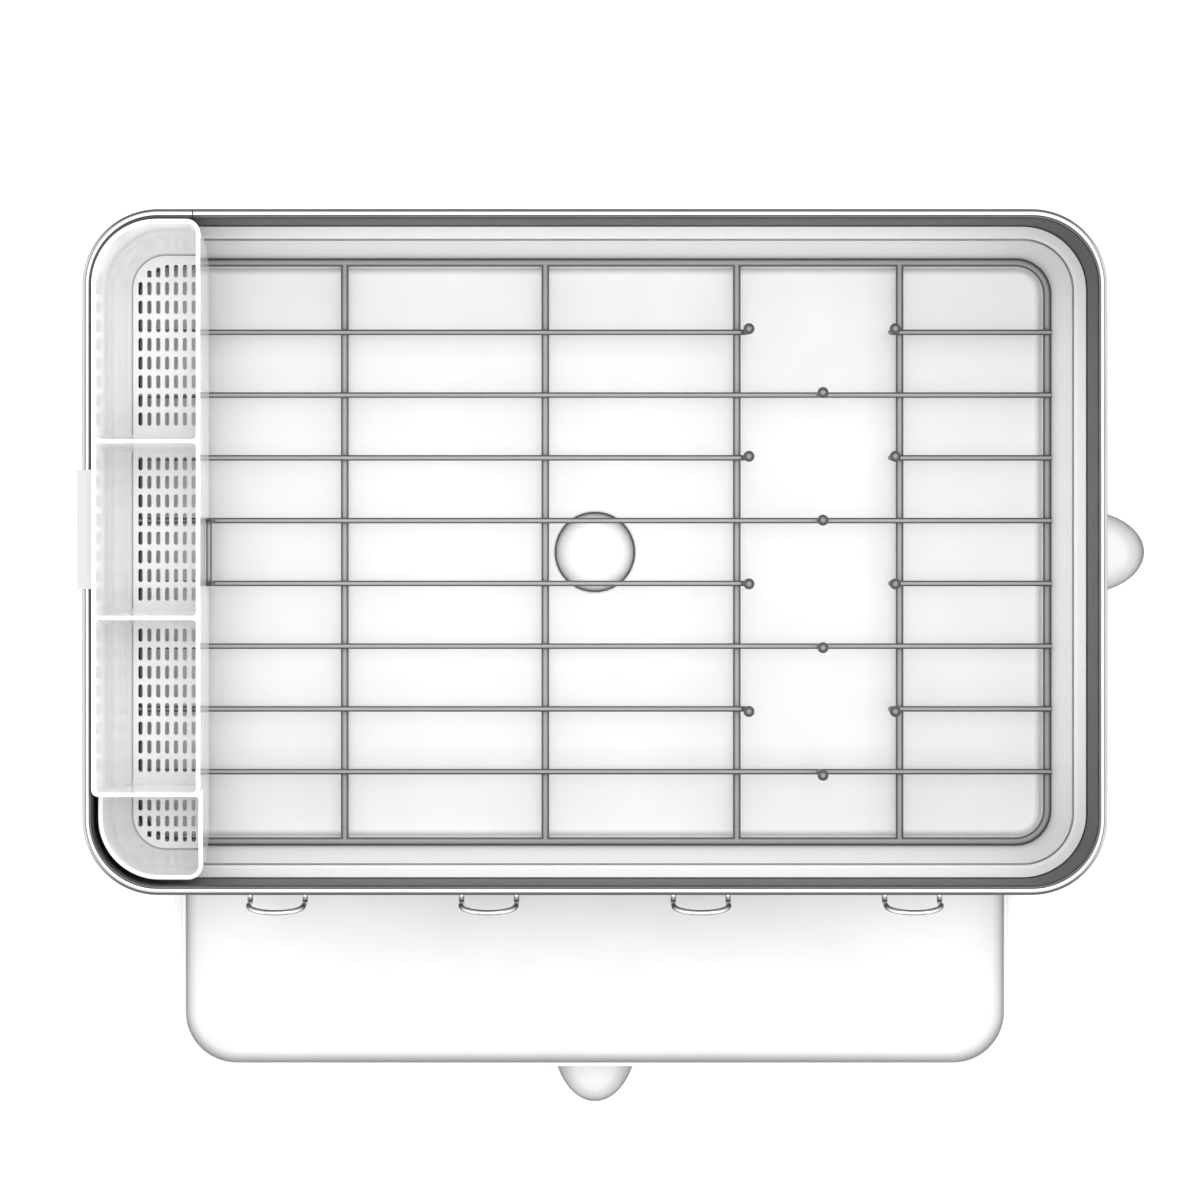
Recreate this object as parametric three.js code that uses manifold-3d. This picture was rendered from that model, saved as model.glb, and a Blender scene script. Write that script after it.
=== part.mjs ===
// Dish drying rack: a steel band on a plastic base, with a drip tray, a coated wire rack, a utensil
// caddy, wire hooks for glasses, a pull-out tray for glasses and two drain spouts that swivel.
// Millimetres. +X is to the right, +Y to the back, +Z up. All places are counted from the middle of
// the steel band; the last lines move the whole rack so that its origin is under its box's centre.

import * as THREE from 'three';
import { mergeGeometries, mergeVertices } from 'three/addons/utils/BufferGeometryUtils.js';
import Module from 'manifold-3d';

const wasm = await Module();
wasm.setup();

// ---- Driving dimensions ----

const FIT_GAP = 0.3; // between pieces that seat on each other
const WELD_GAP = 0.2; // between wires that are welded where they cross

// Steel band
const FRAME_LENGTH = 566.8;
const FRAME_DEPTH = 379.4;
const FRAME_CORNER_R = 42;
const RIM_Z = 152;
const BEAD_D = 5.4;
const BAND_WALL = 1.4;

// Base
const LEDGE_Z = 50;
const LEDGE_T = 4;
const SKIRT_INSET = 1;
const SKIRT_WALL = 2.6;
const SKIRT_BOTTOM_Z = 34;
const FRONT_BOTTOM_Z = 48;
const UPSTAND_WALL = 2.6;
const UPSTAND_GAP = 0.4;
const DECK_Z = 62;
const DECK_T = 2.5;
const DECK_WIDTH = 7.4; // from the band's inner face to the gap round the drip tray
const SEAT_T = 3.2;
const LEG_SPAN = 45.4; // each leg's length along both sides of its corner
const LEG_PAD_T = 4;

// Feet
const FOOT_HEIGHT = 7.7;
const FOOT_R = 10;
const FOOT_INSET = 27;

// Drip tray
const TRAY_GAP = 0.8;
const FLANGE_T = 2;
const FLANGE_WIDTH_X = 17.2;
const FLANGE_WIDTH_Y = 15.4;
const WELL_CORNER_R = 14;
const WELL_WALL = 2;
const WELL_FLOOR_Z = 51;
const WELL_FLOOR_T = 2.2;
const DISH_R = 70;
const DISH_DROP = 2;
const DRAIN_R = 22.8;
const COLLAR_WALL = 2;
const COLLAR_BOTTOM_Z = 43;
const SEAL_WIDTH = 3;
const SEAL_T = 1.5;

// Bridge and drain cup
const BRIDGE_TOP_Z = 41;
const BRIDGE_PLATE_T = 3.5;
const BRIDGE_RIB_H = 7;
const BRIDGE_RIB_T = 3;
const BRIDGE_BORE_WALL = 2; // left beside the cup's bore
const BRIDGE_BORE_CLEARANCE = 0.6;
const BOSS_R = 5;
const BOSS_X_INSET = 17.4;
const BOSS_Y = 20;
const CUP_OUTSIDE_DRAIN = 3.2; // from the drain hole's edge out to the cup's body
const CUP_FLANGE_WIDTH = 5;
const CUP_FLANGE_T = 1.4;
const CUP_NECK_R = 22.2;
const CUP_WALL = 2;
const CUP_SHOULDER_Z = 28.6;
const CUP_BOTTOM_Z = 12.3;
const CUP_WINDOW_WIDTH = 18;
const CUP_WINDOW_TOP_Z = 19;
const CAP_GAP = 0.8; // round the cap, below the drain hole
const CAP_EDGE_Z = 34.5;
const CAP_RISE = 7.8;
const CAP_WALL = 2;
const CAP_POST_R = 5;
const PAN_R = 32;
const PAN_BOTTOM_Z = 10;
const PAN_RIM_Z = 19.4;
const PAN_WALL = 2;

// Spouts
const SPOUT_BEYOND_FRAME = 32.6; // how far the tip stands out of the band's short side
const SPOUT_HALF_WIDTH = 26.2;
const SPOUT_END_LENGTH = 40; // of the half-elliptic end
const SPOUT_WALL = 2.2;
const SPOUT_TOP_Z = 29;
const SPOUT_BOTTOM_Z = 6;
const SPOUT_ROOT_X = 34.5;
const SPOUT_ROOT_HALF_WIDTH = 13;
const SPOUT_FULL_WIDTH_X = 75;
const SPOUT_FALL = 0.0075; // drop for each millimetre of length
const SPOUT_RING_T = 3.7;
const SPOUT_RING_CLEARANCE = 0.6;
const FRONT_RING_Z = 20;
const SIDE_RING_Z = 24.3;

// Tray for glasses and its rails
const GLASS_TRAY_OUT = 102; // how far it stands out of the front
const GLASS_TRAY_DEPTH = 156.5;
const GLASS_TRAY_RIM_Z = 45;
const GLASS_TRAY_BOTTOM_Z = 33;
const GLASS_TRAY_WALL = 2.2;
const GLASS_TRAY_FRONT_R = 31;
const GLASS_TRAY_REAR_R = 8;
const GLASS_TRAY_DRAIN_R = 6;
const GLASS_TRAY_DRAIN_INSET = 15;
const RAIL_WEB = 2.4;
const RAIL_FLANGE = 2;
const RAIL_REACH = 9;
const RAIL_CLEARANCE = 0.7;
const RAIL_TAB_LENGTH = 16;

// Screws
const SCREW_R = 1.8;
const SCREW_HOLE_R = 2.2;
const SCREW_HEAD_R = 4.2;
const SCREW_HEAD_H = 2.2;
const CUP_SCREW_BITE = 3; // how far it goes up into the cap's post

// Wire rack
const PERIMETER_WIRE_R = 2.4;
const PERIMETER_INSET = 2.7; // from the well's edge out to the perimeter wire's centre
const PERIMETER_CORNER_R = 18;
const CROSS_WIRE_R = 2.15;
const CROSS_WIRE_X = [-141.2, -28, 80.1, 172];
const LONG_WIRE_R = 1.575;
const ROW_PITCH = 35.4;
const ROW_COUNT = 8;
const CUT_FROM_X = 85.5; // a cut row's left part turns up here
const CUT_TO_X = 166.7; // and its right part here
const PRONG_X = 126.6; // the welded prong of a full row
const PRONG_HEIGHT = 68;
const PRONG_BALL_R = 3.1;
const PRONG_BEND_R = 4.5;
const STAPLE_HEIGHT = 36;
const STAPLE_BEND_R = 5;

// Caddy
const CADDY_WIDTH = 59.9;
const CADDY_END_GAP = 0.7; // between the caddy and the band's inner face, at both ends
const CADDY_SIDE_GAP = 0.5;
const CADDY_WALL = 2.2;
const CADDY_RIGHT_R = 8;
const CADDY_RIM_Z = 162;
const CADDY_LOW_RIM_Z = 136;
const CADDY_CREASE_Z = 95;
const CADDY_SEAT_GAP = 0.5; // between the floor and the long wires under it
const CADDY_TAPER_X = 17.5;
const CADDY_TAPER_Y = 17.3;
const CADDY_FLOOR_T = 2;
const CADDY_DIVIDER_T = 2;
const FRONT_COMPARTMENT = 49.8; // outer front face to the first divider's middle
const MIDDLE_COMPARTMENT = 97.45; // divider to divider
const SLOT_WIDTH = 2.4;
const SLOT_LENGTH = 7.5;
const SLOT_PITCH_X = 5;
const SLOT_PITCH_Y = 10.5;
const SLOT_COLUMNS = 7;
const SLOT_MARGIN = 6.2;
const SLOT_END_MARGIN = 6.5;
const CLIP_LENGTH = 66;
const CLIP_Y = 12.5;
const CLIP_THICKNESS = 2;
const CLIP_DROP = 14.5;
const CLIP_GAP = 0.6;

// Hooks for glasses
const HOOK_X = [-177.5, -59.2, 59.2, 177.5];
const HOOK_WIRE_R = 1.5;
const HOOK_LEG_SPACING = 31.1;
const HOOK_LEG_Z = 100;
const HOOK_REACH = 10.7; // from the band's outer face to the uprights
const HOOK_BOW = 3.7;
const HOOK_TOP_Z = 130;
const HOOK_BEND_R = 4;

// ---- Places that follow from the dimensions ----

const BAND_INNER_INSET = BEAD_D;
const UPSTAND_INSET = BAND_INNER_INSET + UPSTAND_GAP;
const DECK_INNER_INSET = BAND_INNER_INSET + DECK_WIDTH;
const TRAY_HALF_X = FRAME_LENGTH / 2 - DECK_INNER_INSET - TRAY_GAP;
const TRAY_HALF_Y = FRAME_DEPTH / 2 - DECK_INNER_INSET - TRAY_GAP;
const WELL_HALF_X = TRAY_HALF_X - FLANGE_WIDTH_X;
const WELL_HALF_Y = TRAY_HALF_Y - FLANGE_WIDTH_Y;
const SEAT_Z = DECK_Z - FLANGE_T - FIT_GAP;
const CUP_BODY_R = DRAIN_R + CUP_OUTSIDE_DRAIN;
const CUP_FLANGE_R = CUP_BODY_R + CUP_FLANGE_WIDTH;
const BRIDGE_WIDTH = 2 * (CUP_BODY_R + BRIDGE_BORE_WALL);
const CAP_R = DRAIN_R - CAP_GAP;
const LEG_INNER_X = FRAME_LENGTH / 2 - LEG_SPAN;
const LEG_INNER_Y = FRAME_DEPTH / 2 - LEG_SPAN;
const BOSS_X = FRAME_LENGTH / 2 - BOSS_X_INSET;
const SPOUT_REACH = FRAME_LENGTH / 2 + SPOUT_BEYOND_FRAME;
const RACK_HALF_X = WELL_HALF_X + PERIMETER_INSET;
const RACK_HALF_Y = WELL_HALF_Y + PERIMETER_INSET;
const RACK_Z = DECK_Z + FIT_GAP + PERIMETER_WIRE_R;
const LONG_WIRE_Z = RACK_Z + PERIMETER_WIRE_R + WELD_GAP + LONG_WIRE_R;
const PRONG_TOP_Z = LONG_WIRE_Z + PRONG_HEIGHT - PRONG_BALL_R;
const CADDY_LEFT = -FRAME_LENGTH / 2 + BAND_INNER_INSET + CADDY_SIDE_GAP;
const CADDY_RIGHT = CADDY_LEFT + CADDY_WIDTH;
const CADDY_BOTTOM_Z = LONG_WIRE_Z + LONG_WIRE_R + CADDY_SEAT_GAP;
const CADDY_HALF_Y = FRAME_DEPTH / 2 - BAND_INNER_INSET - CADDY_END_GAP;
const CLIP_OUTER_X = -FRAME_LENGTH / 2 - CLIP_GAP - CLIP_THICKNESS;
const RAIL_OUTER_X = LEG_INNER_X - RAIL_CLEARANCE;
const GLASS_TRAY_HALF_X = RAIL_OUTER_X - RAIL_WEB - RAIL_CLEARANCE;
const GLASS_TRAY_FRONT_Y = -FRAME_DEPTH / 2 - GLASS_TRAY_OUT;

// ---- Shapes ----

// The corner points of a rectangle with round corners, counter-clockwise from the front left.
// radii: front left, front right, back right, back left.
function roundedPoints(x0, y0, x1, y1, radii, steps = 5) {
  const centres = [
    [x0 + radii[0], y0 + radii[0]],
    [x1 - radii[1], y0 + radii[1]],
    [x1 - radii[2], y1 - radii[2]],
    [x0 + radii[3], y1 - radii[3]],
  ];
  const points = [];
  centres.forEach(([cx, cy], corner) => {
    for (let i = 0; i <= steps; i += 1) {
      const angle = Math.PI * (1 + corner / 2) + (Math.PI / 2) * (i / steps);
      const r = radii[corner];
      points.push(new THREE.Vector2(cx + r * Math.cos(angle), cy + r * Math.sin(angle)));
    }
  });
  return points;
}

function centredPoints(halfX, halfY, radius, steps) {
  return roundedPoints(-halfX, -halfY, halfX, halfY, [radius, radius, radius, radius], steps);
}

// The steel band's outline, moved inwards.
function frameOutline(inset) {
  return centredPoints(FRAME_LENGTH / 2 - inset, FRAME_DEPTH / 2 - inset, FRAME_CORNER_R - inset);
}

function circlePoints(radius, sides, cx = 0, cy = 0) {
  return Array.from({ length: sides }, (_, i) => {
    const angle = (2 * Math.PI * i) / sides;
    return new THREE.Vector2(cx + radius * Math.cos(angle), cy + radius * Math.sin(angle));
  });
}

function slab(points, z0, z1, holes = []) {
  const shape = new THREE.Shape(points);
  shape.holes = holes.map((hole) => new THREE.Path(hole));
  const options = { depth: z1 - z0, bevelEnabled: false };
  return new THREE.ExtrudeGeometry(shape, options).translate(0, 0, z0);
}

function block(x0, x1, y0, y1, z0, z1) {
  const box = new THREE.BoxGeometry(x1 - x0, y1 - y0, z1 - z0);
  return box.translate((x0 + x1) / 2, (y0 + y1) / 2, (z0 + z1) / 2);
}

function rod(radius, x, y, z0, z1, sides = 12) {
  const cylinder = new THREE.CylinderGeometry(radius, radius, z1 - z0, sides);
  return cylinder.rotateX(Math.PI / 2).translate(x, y, (z0 + z1) / 2);
}

// Turns a closed profile of [radius, z] points round the Z axis; the profile runs counter-clockwise.
function turned(profile, segments = 24) {
  const points = [...profile, profile[0]].map(([r, z]) => new THREE.Vector2(r, z));
  return new THREE.LatheGeometry(points, segments).rotateX(Math.PI / 2);
}

// A closed skin over rings of equally many points. Each ring is joined to the next; the last is
// joined to the first, or both ends are capped.
function skin(rings, capped) {
  const count = rings[0].length;
  const faces = [];
  const spans = capped ? rings.length - 1 : rings.length;
  for (let i = 0; i < spans; i += 1) {
    const here = i * count;
    const next = ((i + 1) % rings.length) * count;
    for (let j = 0; j < count; j += 1) {
      const k = (j + 1) % count;
      faces.push(here + j, here + k, next + k, here + j, next + k, next + j);
    }
  }
  if (capped) {
    const last = (rings.length - 1) * count;
    const flat = (ring) => ring.map(([x, y]) => new THREE.Vector2(x, y));
    THREE.ShapeUtils.triangulateShape(flat(rings[0]), []).forEach(([a, b, c]) => faces.push(a, c, b));
    THREE.ShapeUtils.triangulateShape(flat(rings.at(-1)), []).forEach(([a, b, c]) =>
      faces.push(last + a, last + b, last + c));
  }
  const geometry = new THREE.BufferGeometry();
  geometry.setAttribute('position', new THREE.Float32BufferAttribute(rings.flat(2), 3));
  geometry.setIndex(faces);
  return geometry;
}

const atHeight = (points, z) => points.map((p) => [p.x, p.y, z]);

// Sweeps a closed profile of [outward, z] points round a rounded rectangle.
function sweptRing(profile, halfX, halfY, radius) {
  const rings = profile.map(([out, z]) =>
    atHeight(centredPoints(halfX + out, halfY + out, radius + out), z));
  return skin(rings, false);
}

// A path whose stations are used as they are, so bends get the short steps and straights none.
class StationPath extends THREE.Curve {
  constructor(stations) {
    super();
    this.stations = stations.map((p) => new THREE.Vector3(...p));
  }

  getPoint(t, target = new THREE.Vector3()) {
    const place = t * (this.stations.length - 1);
    const i = Math.min(Math.floor(place + 1e-9), this.stations.length - 2);
    return target.lerpVectors(this.stations[i], this.stations[i + 1], place - i);
  }

  getPointAt(u, target) {
    return this.getPoint(u, target);
  }

  getTangentAt(u, target = new THREE.Vector3()) {
    const i = Math.round(u * (this.stations.length - 1));
    const last = this.stations.length - 1;
    target.set(0, 0, 0);
    if (i > 0) target.add(this.direction(i - 1));
    if (i < last) target.add(this.direction(i));
    return target.normalize();
  }

  direction(i) {
    return new THREE.Vector3().subVectors(this.stations[i + 1], this.stations[i]).normalize();
  }
}

function wire(stations, radius, sides = 8) {
  return new THREE.ExtrudeGeometry(new THREE.Shape(circlePoints(radius, sides)), {
    steps: stations.length - 1,
    extrudePath: new StationPath(stations),
    bevelEnabled: false,
  });
}

// Points of a quarter bend from one direction to another, both unit vectors at right angles.
// The corner is where the two straight lines would meet.
function bend(corner, from, to, radius, steps = 4) {
  return Array.from({ length: steps + 1 }, (_, i) => {
    const angle = (Math.PI / 2) * (i / steps);
    return corner.map((c, axis) =>
      c - from[axis] * radius * (1 - Math.sin(angle)) + to[axis] * radius * (1 - Math.cos(angle)));
  });
}

// ---- Joins and cuts ----

function toManifold(geometry) {
  const bare = geometry.clone();
  bare.deleteAttribute('normal');
  bare.deleteAttribute('uv');
  const merged = mergeVertices(bare, 1e-4);
  return new wasm.Manifold(new wasm.Mesh({
    numProp: 3,
    vertProperties: merged.attributes.position.array,
    triVerts: new Uint32Array(merged.index.array),
  }));
}

function toGeometry(solid) {
  const { vertProperties, triVerts } = solid.getMesh();
  const geometry = new THREE.BufferGeometry();
  geometry.setAttribute('position', new THREE.Float32BufferAttribute(vertProperties, 3));
  geometry.setIndex(Array.from(triVerts));
  return geometry;
}

function join(...geometries) {
  return toGeometry(geometries.map(toManifold).reduce((all, one) => all.add(one)));
}

function cut(geometry, ...tools) {
  return toGeometry(tools.map(toManifold).reduce((left, tool) => left.subtract(tool), toManifold(geometry)));
}

function common(a, b) {
  return toGeometry(toManifold(a).intersect(toManifold(b)));
}

// ---- Finishes ----

function finish(color, roughness, metalness) {
  return () => new THREE.MeshStandardMaterial({ color, roughness, metalness });
}

const brushedSteel = finish(0xb9babb, 0.34, 1);
const polishedSteel = finish(0xcfd1d3, 0.12, 1);
const coatedWire = finish(0x8d8e90, 0.4, 0.3);
const whiteGloss = finish(0xf4f4f3, 0.22, 0);
const whiteMatt = finish(0xeeeeed, 0.5, 0);
const greyRubber = finish(0x9a9b9d, 0.85, 0);

function part(group, name, geometry, material) {
  const shaded = geometry.index ? geometry.toNonIndexed() : geometry;
  shaded.computeVertexNormals();
  const mesh = new THREE.Mesh(shaded, material());
  mesh.name = name;
  group.add(mesh);
  return mesh;
}

// ---- Steel band ----

function steelBand() {
  const r = BEAD_D / 2;
  const bead = Array.from({ length: 7 }, (_, i) => {
    const angle = -Math.PI / 2 + (Math.PI / 4) * i;
    return [r + r * Math.cos(angle), RIM_Z - r + r * Math.sin(angle)];
  });
  const bottom = LEDGE_Z + FIT_GAP;
  const profile = [[0, bottom], [BAND_WALL, bottom], [BAND_WALL, RIM_Z - BEAD_D + 0.4], ...bead];
  return sweptRing(
    profile,
    FRAME_LENGTH / 2 - BAND_INNER_INSET,
    FRAME_DEPTH / 2 - BAND_INNER_INSET,
    FRAME_CORNER_R - BAND_INNER_INSET,
  );
}

// ---- Base: skirt, ledge for the band, upstand, deck and the seat under the drip tray ----

function frameRing(outerInset, innerInset, z0, z1) {
  return slab(frameOutline(outerInset), z0, z1, [frameOutline(innerInset)]);
}

function seatRing() {
  const halfX = WELL_HALF_X + WELL_WALL + 2;
  const halfY = WELL_HALF_Y + WELL_WALL + 2;
  const opening = centredPoints(halfX, halfY, WELL_CORNER_R + WELL_WALL + 2);
  return slab(frameOutline(UPSTAND_INSET), SEAT_Z - SEAT_T, SEAT_Z, [opening]);
}

function cornerBlocks(z0, z1) {
  const x = FRAME_LENGTH / 2;
  const y = FRAME_DEPTH / 2;
  return [
    block(LEG_INNER_X, x, LEG_INNER_Y, y, z0, z1),
    block(-x, -LEG_INNER_X, LEG_INNER_Y, y, z0, z1),
    block(-x, -LEG_INNER_X, -y, -LEG_INNER_Y, z0, z1),
    block(LEG_INNER_X, x, -y, -LEG_INNER_Y, z0, z1),
  ];
}

function legs() {
  const bottom = FOOT_HEIGHT + FIT_GAP;
  const shell = cut(
    slab(frameOutline(SKIRT_INSET), bottom, LEDGE_Z - 1),
    slab(frameOutline(SKIRT_INSET + SKIRT_WALL), bottom + LEG_PAD_T, LEDGE_Z),
  );
  return common(shell, join(...cornerBlocks(bottom - 1, LEDGE_Z)));
}

function bossPlaces() {
  return [[BOSS_X, BOSS_Y], [BOSS_X, -BOSS_Y], [-BOSS_X, BOSS_Y], [-BOSS_X, -BOSS_Y]];
}

function base() {
  const innermost = UPSTAND_INSET + UPSTAND_WALL;
  const bossBottom = BRIDGE_TOP_Z + FIT_GAP;
  const ring = join(
    frameRing(SKIRT_INSET, SKIRT_INSET + SKIRT_WALL, SKIRT_BOTTOM_Z, LEDGE_Z),
    frameRing(SKIRT_INSET, innermost, LEDGE_Z - LEDGE_T, LEDGE_Z),
    frameRing(UPSTAND_INSET, innermost, LEDGE_Z - LEDGE_T, DECK_Z),
    frameRing(UPSTAND_INSET, DECK_INNER_INSET, DECK_Z - DECK_T, DECK_Z),
    seatRing(),
    ...bossPlaces().map(([x, y]) => rod(BOSS_R, x, y, bossBottom, SEAT_Z - SEAT_T + 1)),
  );
  const frontY = -FRAME_DEPTH / 2;
  const frontOpening = block(
    -LEG_INNER_X, LEG_INNER_X, frontY - 1, frontY + FRAME_CORNER_R, SKIRT_BOTTOM_Z - 1, FRONT_BOTTOM_Z,
  );
  const screwHoles = bossPlaces().map(([x, y]) =>
    rod(SCREW_HOLE_R, x, y, bossBottom - 1, bossBottom + 9, 8));
  return cut(join(cut(ring, frontOpening), legs()), ...screwHoles);
}

function foot() {
  const r = FOOT_R;
  return turned([[0, 0], [r - 1.5, 0], [r, 1.5], [r - 1, FOOT_HEIGHT], [0, FOOT_HEIGHT]], 16);
}

// ---- Screws, with the head down at z 0 and the shank up ----

function screw(shankLength) {
  const tip = SCREW_HEAD_H + shankLength;
  return turned([
    [0, 0], [SCREW_HEAD_R - 1, 0], [SCREW_HEAD_R, 1], [SCREW_HEAD_R, SCREW_HEAD_H],
    [SCREW_R, SCREW_HEAD_H], [SCREW_R, tip - 1], [0, tip],
  ], 10);
}

// ---- Bridge, drain cup, outlet pan ----

function bridge() {
  const halfX = BOSS_X + BOSS_R + 1;
  const halfY = BRIDGE_WIDTH / 2;
  const ribBottom = BRIDGE_TOP_Z - BRIDGE_RIB_H;
  const body = join(
    block(-halfX, halfX, -halfY, halfY, BRIDGE_TOP_Z - BRIDGE_PLATE_T, BRIDGE_TOP_Z),
    block(-halfX, halfX, -halfY, -halfY + BRIDGE_RIB_T, ribBottom, BRIDGE_TOP_Z - 1),
    block(-halfX, halfX, halfY - BRIDGE_RIB_T, halfY, ribBottom, BRIDGE_TOP_Z - 1),
    rod(CUP_FLANGE_R, 0, 0, ribBottom, BRIDGE_TOP_Z - 1, 24),
  );
  const trimmed = common(body, block(-halfX, halfX, -halfY, halfY, ribBottom, BRIDGE_TOP_Z));
  const boltHoles = bossPlaces().map(([x, y]) => rod(SCREW_HOLE_R, x, y, ribBottom - 1, BRIDGE_TOP_Z + 1, 8));
  const railHoles = [-1, 1].map((side) =>
    rod(SCREW_HOLE_R, side * railScrewX(), railScrewY(), ribBottom - 1, BRIDGE_TOP_Z + 1, 8));
  const bore = rod(CUP_BODY_R + BRIDGE_BORE_CLEARANCE, 0, 0, ribBottom - 1, BRIDGE_TOP_Z + 1, 24);
  return cut(trimmed, bore, ...boltHoles, ...railHoles);
}

// The cap hides the outlets from above. Its post stands on the cup's floor and takes the screw.
function drainCap() {
  const steps = 6;
  const arc = (radius, rise) => Array.from({ length: steps }, (_, i) => {
    const angle = (Math.PI / 2) * (1 - i / steps);
    return [radius * Math.sin(angle), CAP_EDGE_Z + rise * Math.cos(angle)];
  });
  const outside = arc(CAP_R, CAP_RISE);
  const inside = arc(CAP_R - CAP_WALL, CAP_RISE - CAP_WALL).reverse();
  const crownZ = outside.at(-1)[1];
  const core = CAP_POST_R - 1;
  const dome = turned([...outside, [core, crownZ], [core, inside[0][1]], ...inside]);
  return join(dome, rod(CAP_POST_R, 0, 0, CUP_BOTTOM_Z, crownZ, 24));
}

function drainCup() {
  const flangeZ = BRIDGE_TOP_Z + FIT_GAP;
  const floorZ = CUP_BOTTOM_Z + CUP_WALL;
  const bore = CUP_NECK_R - CUP_WALL;
  const core = CAP_POST_R - 1;
  const shell = turned([
    [core, CUP_BOTTOM_Z], [CUP_NECK_R, CUP_BOTTOM_Z], [CUP_NECK_R, CUP_SHOULDER_Z],
    [CUP_BODY_R, CUP_SHOULDER_Z], [CUP_BODY_R, flangeZ], [CUP_FLANGE_R, flangeZ],
    [CUP_FLANGE_R, flangeZ + CUP_FLANGE_T], [CUP_BODY_R - CUP_WALL, flangeZ + CUP_FLANGE_T],
    [CUP_BODY_R - CUP_WALL, CUP_SHOULDER_Z + 4], [bore, CUP_SHOULDER_Z + 1], [bore, floorZ],
    [core, floorZ],
  ]);
  const half = CUP_WINDOW_WIDTH / 2;
  const windowed = cut(
    shell,
    block(-CUP_NECK_R - 1, CUP_NECK_R + 1, -half, half, floorZ, CUP_WINDOW_TOP_Z),
    block(-half, half, -CUP_NECK_R - 1, CUP_NECK_R + 1, floorZ, CUP_WINDOW_TOP_Z),
  );
  const screwHole = rod(SCREW_HOLE_R, 0, 0, CUP_BOTTOM_Z - 1, floorZ + CUP_SCREW_BITE + FIT_GAP, 8);
  return cut(join(windowed, drainCap()), screwHole);
}

function outletPan() {
  const floorZ = PAN_BOTTOM_Z + PAN_WALL;
  const pan = turned([
    [SCREW_HOLE_R, PAN_BOTTOM_Z], [PAN_R, PAN_BOTTOM_Z], [PAN_R, PAN_RIM_Z], [PAN_R - PAN_WALL, PAN_RIM_Z],
    [PAN_R - PAN_WALL, floorZ], [SCREW_HOLE_R, floorZ],
  ]);
  const half = SPOUT_ROOT_HALF_WIDTH;
  return cut(
    pan,
    block(CUP_NECK_R, PAN_R + 1, -half, half, floorZ, PAN_RIM_Z + 1),
    block(-half, half, -PAN_R - 1, -CUP_NECK_R, floorZ, PAN_RIM_Z + 1),
  );
}

// ---- Spouts: a trough along +X with a flat ring that turns on the cup's neck ----

function spoutPlan(inset, rootX) {
  const half = SPOUT_HALF_WIDTH - inset;
  const rootHalf = SPOUT_ROOT_HALF_WIDTH - inset;
  const endX = SPOUT_REACH - SPOUT_END_LENGTH;
  const steps = 12;
  const end = Array.from({ length: steps + 1 }, (_, i) => {
    const angle = -Math.PI / 2 + Math.PI * (i / steps);
    return new THREE.Vector2(endX + (SPOUT_END_LENGTH - inset) * Math.cos(angle), half * Math.sin(angle));
  });
  return [
    new THREE.Vector2(rootX, -rootHalf),
    new THREE.Vector2(SPOUT_FULL_WIDTH_X, -half),
    ...end,
    new THREE.Vector2(SPOUT_FULL_WIDTH_X, half),
    new THREE.Vector2(rootX, rootHalf),
  ];
}

function spout(ringZ) {
  const floorZ = SPOUT_BOTTOM_Z + SPOUT_WALL;
  const trough = cut(
    slab(spoutPlan(0, SPOUT_ROOT_X), SPOUT_BOTTOM_Z, SPOUT_TOP_Z),
    slab(spoutPlan(SPOUT_WALL, SPOUT_ROOT_X - 1), floorZ, SPOUT_TOP_Z + 1),
  );
  const armHalf = SPOUT_ROOT_HALF_WIDTH - 1;
  const lip = block(PAN_R - 1, SPOUT_ROOT_X + 2, -armHalf, armHalf, SPOUT_BOTTOM_Z, floorZ);
  const ring = cut(
    join(
      rod(PAN_R + 1, 0, 0, ringZ, ringZ + SPOUT_RING_T, 24),
      block(CUP_BODY_R, SPOUT_ROOT_X + 6, -armHalf, armHalf, ringZ, ringZ + SPOUT_RING_T),
    ),
    rod(CUP_NECK_R + SPOUT_RING_CLEARANCE, 0, 0, ringZ - 1, ringZ + SPOUT_RING_T + 1, 24),
  );
  const geometry = join(trough, lip, ring);
  const position = geometry.attributes.position;
  for (let i = 0; i < position.count; i += 1) {
    const beyondRing = Math.max(0, position.getX(i) - SPOUT_ROOT_X - 8);
    position.setZ(i, position.getZ(i) - beyondRing * SPOUT_FALL);
  }
  return geometry;
}

// ---- Drip tray ----

function dripTray() {
  const underside = WELL_FLOOR_Z - WELL_FLOOR_T;
  const outerX = WELL_HALF_X + WELL_WALL;
  const outerY = WELL_HALF_Y + WELL_WALL;
  const flange = slab(
    centredPoints(TRAY_HALF_X, TRAY_HALF_Y, FRAME_CORNER_R - DECK_INNER_INSET - TRAY_GAP),
    DECK_Z - FLANGE_T,
    DECK_Z,
  );
  const tub = cut(
    join(flange, slab(centredPoints(outerX, outerY, WELL_CORNER_R + WELL_WALL), underside, DECK_Z - 1)),
    slab(centredPoints(WELL_HALF_X, WELL_HALF_Y, WELL_CORNER_R), WELL_FLOOR_Z, DECK_Z + 1),
    rod(DISH_R - 0.5, 0, 0, underside - 1, WELL_FLOOR_Z + 1, 32),
  );
  const dish = turned([
    [DRAIN_R, COLLAR_BOTTOM_Z], [DRAIN_R + COLLAR_WALL, COLLAR_BOTTOM_Z],
    [DRAIN_R + COLLAR_WALL, underside - DISH_DROP], [DISH_R, underside], [DISH_R, WELL_FLOOR_Z],
    [DRAIN_R, WELL_FLOOR_Z - DISH_DROP],
  ], 32);
  return join(tub, dish);
}

function drainSeal() {
  const inner = DRAIN_R + COLLAR_WALL + FIT_GAP;
  const outer = inner + SEAL_WIDTH;
  const bottom = COLLAR_BOTTOM_Z;
  return turned([[inner, bottom], [outer, bottom], [outer, bottom + SEAL_T], [inner, bottom + SEAL_T]]);
}

// ---- Tray for glasses and its rails ----

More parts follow.
